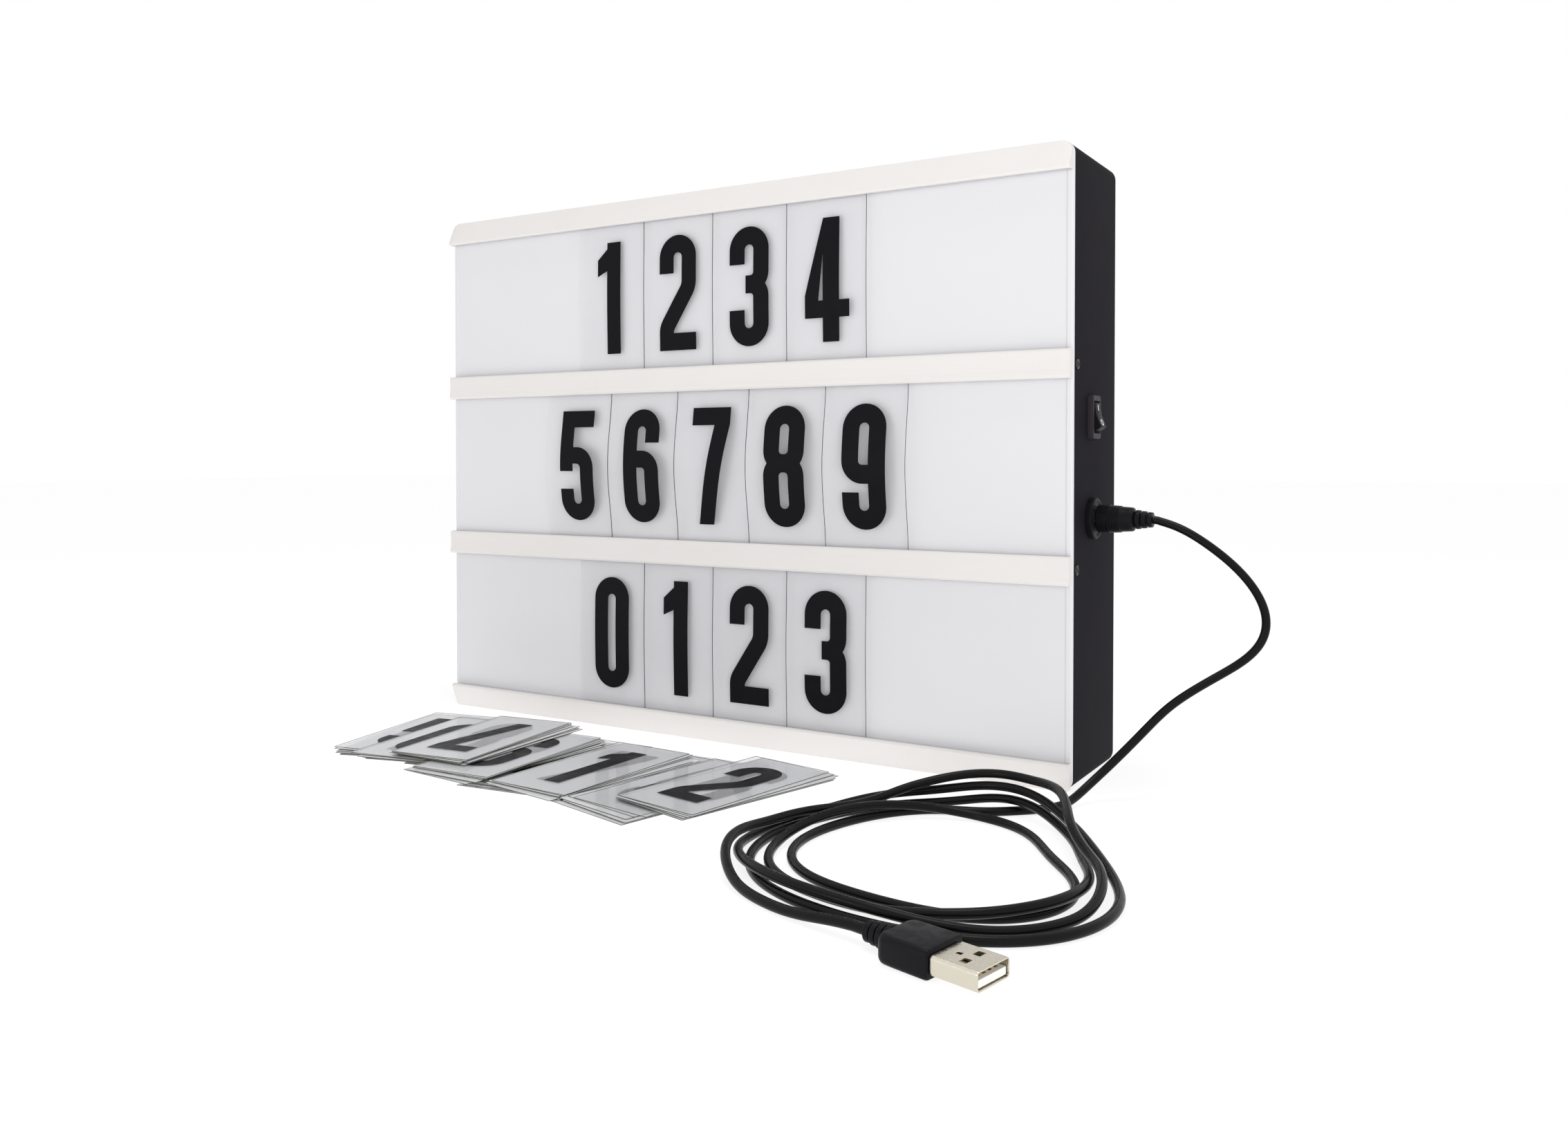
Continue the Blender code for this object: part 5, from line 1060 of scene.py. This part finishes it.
def strokes(digit):
    """The cells of a plain bold condensed digit, in millimetres, with its corner at 0, 0."""
    w, h, s, r = DIGIT_W, DIGIT_H, STROKE, DIGIT_W / 2
    if digit == "0":
        return ribbon(rounded_line([(0, 0), (w, 0), (w, h), (0, h)], r, 10), closed=True)
    if digit == "1":
        x = 0.62 * w
        flag = [(0.5, -8.0), (3, s), (-5.0, -3.5), (-5.0, -10.5)]
        return bar(x - s, -s, x + s, h + s) + [np.array(flag) + [x - s, h]]
    if digit == "2":
        line = [(0, 0.70 * h), (0, h), (w, h), (w, 0.56 * h), (0, 0.14 * h), (0, 0)]
        line = rounded_line(line, [0, r, r, 8, 6, 0], 10, closed=False)
        return ribbon(line) + bar(-s, -s, w + s, s)
    if digit == "3":
        upper = [(0, 0.72 * h), (0, h), (w, h), (w, 0.52 * h), (0.36 * w, 0.52 * h)]
        lower = [(0.36 * w, 0.52 * h), (w, 0.52 * h), (w, 0), (0, 0), (0, 0.27 * h)]
        upper = rounded_line(upper, [0, r, r, 4.8, 0], 10, closed=False)
        return ribbon(upper) + ribbon(rounded_line(lower, [0, 4.8, r, r, 0], 10, closed=False))
    if digit == "4":
        x, z = 0.70 * w, 0.23 * h
        slant = [(x - s, h + s), (-s, z + s + 1.5), (-s, z - s)]
        slant = np.array([*slant, (s - 1.2, z + s - 0.5), (x - s + 0.1, h * 0.78)])
        found = bar(x - s, -s, x + s, h + s) + bar(-s, z - s, w + s + 1.0, z + s - 0.5)
        return found + [slant[:4], slant[[0, 3, 4]]]
    if digit == "5":
        bowl = [(0, 0.47 * h), (0, 0.61 * h), (w, 0.61 * h), (w, 0), (0, 0), (0, 0.25 * h)]
        return (
            bar(-s, h - s, w + s - 0.6, h + s)
            + bar(-s, 0.44 * h, s, h + s)
            + ribbon(rounded_line(bowl, [0, 2.4, r, r, r, 0], 10, closed=False))
        )
    if digit in "69":
        line = [(w, 0.74 * h), (w, h), (0, h), (0, 0), (w, 0), (w, 0.57 * h), (0.1 * w, 0.57 * h)]
        found = ribbon(rounded_line(line, [0, r, r, r, r, 5, 0], 10, closed=False))
        return found if digit == "6" else [np.array([w, h]) - cell for cell in found]
    if digit == "7":
        top, foot = h - s + 0.2, 0.26 * w
        slant = np.array([(w + s, top), (w - s - 0.3, top), (foot - s, -s), (foot + s, -s)])
        return bar(-s, h - s, w + s, h + s) + [slant]
    upper = rounded_line([(0, 0.53 * h), (w, 0.53 * h), (w, h), (0, h)], [5, 5, r, r], 10)
    lower = rounded_line([(0, 0), (w, 0), (w, 0.53 * h), (0, 0.53 * h)], [r, r, 5, 5], 10)
    return ribbon(upper, closed=True) + ribbon(lower, closed=True)


def digit_mesh(digit):
    """The union of a digit's cells as triangles, cut by level lines 2 mm apart so that it can
    bend. Its middle is at 0, 0, in metres."""
    found, faces, count = [], [], 0
    for cell in strokes(digit):
        after = np.roll(cell, -1, axis=0)
        area = (cell[:, 0] * after[:, 1] - cell[:, 1] * after[:, 0]).sum()
        found.append(cell if area > 0 else cell[::-1])
        faces.append(list(range(count, count + len(cell))))
        count += len(cell)
    points = np.vstack(found)
    levels = np.arange(-2.0, DIGIT_H + 3, 2.0)
    lines = np.stack([np.column_stack([np.full(len(levels), x), levels]) for x in (-6.0, DIGIT_W + 6.0)], 1)
    edges = [(len(points) + 2 * k, len(points) + 2 * k + 1) for k in range(len(levels))]
    points = np.vstack([points, lines.reshape(-1, 2)])
    made = delaunay_2d_cdt([Vector(p) for p in points], edges, faces, 0, 1e-4, True)
    corners = np.array([tuple(v) for v in made[0]])
    kept = np.array([f for f, origin in zip(made[2], made[5]) if origin])
    used, index = np.unique(kept, return_inverse=True)
    middle = np.array([DIGIT_W, DIGIT_H]) / 2
    return (corners[used] - middle) * MM, index.reshape(-1, 3)


DIGITS = {digit: digit_mesh(digit) for digit in "0123456789"}


def inked(name, points, faces, depth):
    """Ink on a face: its triangles, the same ones moved by depth, and walls round their outline."""
    count = len(points)
    ends = np.concatenate([faces[:, [0, 1]], faces[:, [1, 2]], faces[:, [2, 0]]])
    _, index, times = np.unique(np.sort(ends, axis=1), axis=0, return_inverse=True, return_counts=True)
    rim = ends[times[index.reshape(-1)] == 1]
    walls = np.column_stack([rim[:, 1], rim[:, 0], rim[:, 0] + count, rim[:, 1] + count])
    both = np.vstack([points, points + np.array(depth)])
    return piece(name, both, [*faces, *(faces[:, ::-1] + count), *walls], [INK])


# Cards in the rails

ROW_DIGITS = {"top": "1234", "middle": "56789", "bottom": "0123"}


def make_card(node, digit):
    """A card: a thin rectangle carried up a bow of depth * sin(pi * height)^2. Its digit follows
    the same bow."""
    low, high = box_of(node)
    bow = high[1] - low[1] - CARD_T
    share = np.linspace(0, 1, 49)
    depth = bow * np.sin(np.pi * share) ** 2
    middle = high[1] - CARD_T / 2
    flat = rounded_line(rectangle(high[0] - low[0], CARD_T, ((high[0] + low[0]) / 2, middle)), 0.0001, 2)
    levels = low[2] + share * (high[2] - low[2])
    rings = np.stack([set_at(flat - [0, d], 2, z) for d, z in zip(depth, levels)])
    # Painted shade: the right-hand edge and the two ends take the film edge's painted dark line, while the
    # left edge stays clear film
    shaded_edge = (flat[:, 0] + np.roll(flat[:, 0], -1)) / 2 > high[0] - 0.00012
    picks = np.tile(np.where(shaded_edge, 1, 0), len(rings) - 1)
    name = node.replace("_card_", "_film_")
    card = loft(name, rings, [FILM, FILM_EDGE_SHADE], np.concatenate([picks, [1, 1]]), sharp=50)
    mount(card, node, "card_film", node)
    flat, faces = DIGITS[digit]
    x = flat[:, 0] + (low[0] + high[0]) / 2
    z = flat[:, 1] + (low[2] + high[2]) / 2
    bend = bow * np.sin(np.pi * (z - low[2]) / (high[2] - low[2])) ** 2
    y = middle - CARD_T / 2 - bend - 0.00003
    ink = inked(name.replace("_film_", "_digit_"), np.stack([x, y, z], 1), faces, (0, 0.00005, 0))
    mount(ink, node, "black_plastic")


for word, digits in ROW_DIGITS.items():
    for number, digit in enumerate(digits, 1):
        make_card(f"{word}_card_{number}", digit)

# The pile of spare cards

CARD_W, CARD_H = 0.0339, 0.0664
# Stacks 7, 8 and 10 stand 1, 4 and 9 mm left of their solids, as in the photograph
SHEAF_X =(-0.10788, -0.06815, -0.02755, 0.0145, -0.087, -0.04785, -0.0068, 0.0350, -0.06815, 0.0498)
SHEAF_SHARES = (0.18, 0.14, 0.08, 0.02, 0.05, 0, -0.02, -0.08, 0.10, -0.02)
SHEAF_LAYERS = (0, 0, 0, 0, 1, 1, 1, 1, 2, 2)
SHEAF_FILMS, SHEAF_H, CLEAR_FILMS = 7, 0.0019, 2
FILM_T, FILM_PITCH, PILE_Y = 0.00020, 0.00026, -0.0916
INKED_FILMS = {0: 0, 1: 1, 3: 2}
SHEAF_DIGITS = ("503", "831", "317", "094", "628", "940", "172", "456", "785", "261")


def make_sheaf(number, rng):
    """Seven cards on each other, fanned a little. down counts them from the top one, which has the
    stack's own place and turn. The top two are clear, those below are hazed by what lies on them,
    and three carry a digit. Stacks further right lie more loosely."""
    k = number - 1
    place = np.array([SHEAF_X[k], PILE_Y + SHEAF_SHARES[k] * CARD_H, SHEAF_LAYERS[k] * SHEAF_H])
    flip = 180 if number % 3 == 0 else 0
    films, inks = [], []
    flat = rounded_line(rectangle(CARD_W, CARD_H), 0.0004, 3)
    rings = np.stack([set_at(flat, 2, z) for z in (0, FILM_T)])
    # Painted shade: every cut edge of a film takes the film edge's painted dark line
    picks = np.concatenate([np.full(len(flat), 1), [0, 0]])
    fan = rng.choice([-1, 1]) * rng.uniform(0.9, 1.6)
    slip = rng.uniform(-1, 1, 2) * [0.0006, 0.0009]
    loose = np.interp(SHEAF_X[k], [-0.11, 0.05], [0.4, 1.1])
    for level in range(SHEAF_FILMS):
        down = SHEAF_FILMS - 1 - level
        askew = down * slip + rng.uniform(-1, 1, 2) * [0.0018, 0.0026] * loose * (down > 0)
        where = place + [askew[0], askew[1], FILM_PITCH * level + 0.00004]
        lean = math.radians(SHEAF_TURNS[k] + down * fan + rng.uniform(-2.2, 2.2) * loose * (down > 0))
        face = FILM if down < CLEAR_FILMS else FILM_STACK
        film = laid(rings, where, lean)
        films.append(loft(f"film_{number}_{level}", film, [face, FILM_EDGE_SHADE], picks, sharp=50))
        if down in INKED_FILMS:
            points, faces = DIGITS[SHEAF_DIGITS[k][INKED_FILMS[down]]]
            solid = set_at(points, 2, 0.000205)
            solid = laid(solid, where, lean + math.radians(flip))
            inks.append(inked(f"spare_digit_{number}_{level}", solid, faces, (0, 0, 0.00002)))
    return films, inks


def make_pile():
    """Ten stacks, in the order in which they draw their random numbers."""
    rng = np.random.default_rng(7)
    for number in range(1, 11):
        films, inks = make_sheaf(number, rng)
        mount(joined(f"spare_films_{number}", films), "spare_cards", "card_film", f"spare_sheaf_{number}")
        for ink in inks:
            mount(ink, "spare_cards", "black_plastic")


make_pile()

# Battery contacts

CELL_PITCH, CELL_COUNT, CELL_Y = 0.0150, 6, 0.0157
SPRING_TURNS, SPRING_H, SPRING_FOOT, SPRING_TIP, SPRING_WIRE = 4.5, 0.0050, 0.0033, 0.0016, 0.00032


def cell_x(cell):
    """The X of a battery cell's axis, counted from 1 at the left."""
    return (cell - (CELL_COUNT + 1) / 2) * CELL_PITCH


def coil_spring(name, x, face, up):
    """A conical spring: a helix whose radius falls evenly with its height. Its first and last
    three quarters of a turn lie flat."""
    turn = np.linspace(0, SPRING_TURNS, 150)
    share = np.clip((turn - 0.75) / (SPRING_TURNS - 1.5), 0, 1)
    radius = SPRING_FOOT + (SPRING_TIP - SPRING_FOOT) * share
    height = SPRING_WIRE + (SPRING_H - 2 * SPRING_WIRE) * share
    angle = 2 * np.pi * turn
    path = np.stack([x + radius * np.cos(angle), CELL_Y + radius * np.sin(angle), face + up * height], 1)
    return tube(name, path, SPRING_WIRE, 8, [SPRING])


def make_contacts():
    """Four stamped plates. Each takes a spring at every cell's minus end and a dome at every plus end."""
    for node, cells_on, sprung, up in (
        ("contact_negative", (1, 2), (1, 2), 1),
        ("contact_lower_link", (3, 4, 5, 6), (5, 6), 1),
        ("contact_upper_link", (1, 2, 3, 4), (3, 4), -1),
        ("contact_positive", (5, 6), (), -1),
    ):
        low, high = box_of(node)
        wall = low[2] if up > 0 else high[2]
        face = wall + up * 0.0004
        flat = rectangle(high[0] - low[0], high[1] - low[1], (high[:2] + low[:2]) / 2)
        line = rounded_line(flat, 0.0008, 4)
        rings = [set_at(line, 2, z) for z in (wall, face)]
        parts = [loft("stamped_plate", rings, [SPRING])]
        for cell in cells_on:
            x = cell_x(cell)
            if cell in sprung:
                parts.append(coil_spring("spring", x, face, up))
                continue
            swell = np.linspace(0, np.pi / 2, 6)
            dome = np.stack([0.0026 - 0.0024 * np.sin(swell), 0.0006 * np.sin(swell) ** 0.8], 1)
            profile = np.vstack([[(0.0004, -0.0002), (0.0026, -0.0002)], dome])
            parts.append(turned("dome", profile, (x, CELL_Y, face), (0, 0, up), 24, [SPRING]))
        made = joined(node.replace("contact_", "battery_spring_"), parts)
        mount(made, "light_box", "nickel", node)


make_contacts()

# Finishes for what stays CAD

for node, made in (
    ("dc_socket_nut", NICKEL),
    ("dc_socket_pin", NICKEL),
    ("driver_board", GREEN_BOARD),
    ("reflector_tray", WHITE_BOARD),
    ("lower_light_strip", WHITE_BOARD),
    ("middle_light_strip", WHITE_BOARD),
    ("upper_light_strip", WHITE_BOARD),
    ("wire_socket_to_board", WIRE_RED),
    ("wire_socket_to_switch", WIRE_RED),
    ("wire_switch_to_board", WIRE_BLACK),
):
    dress(node, made)
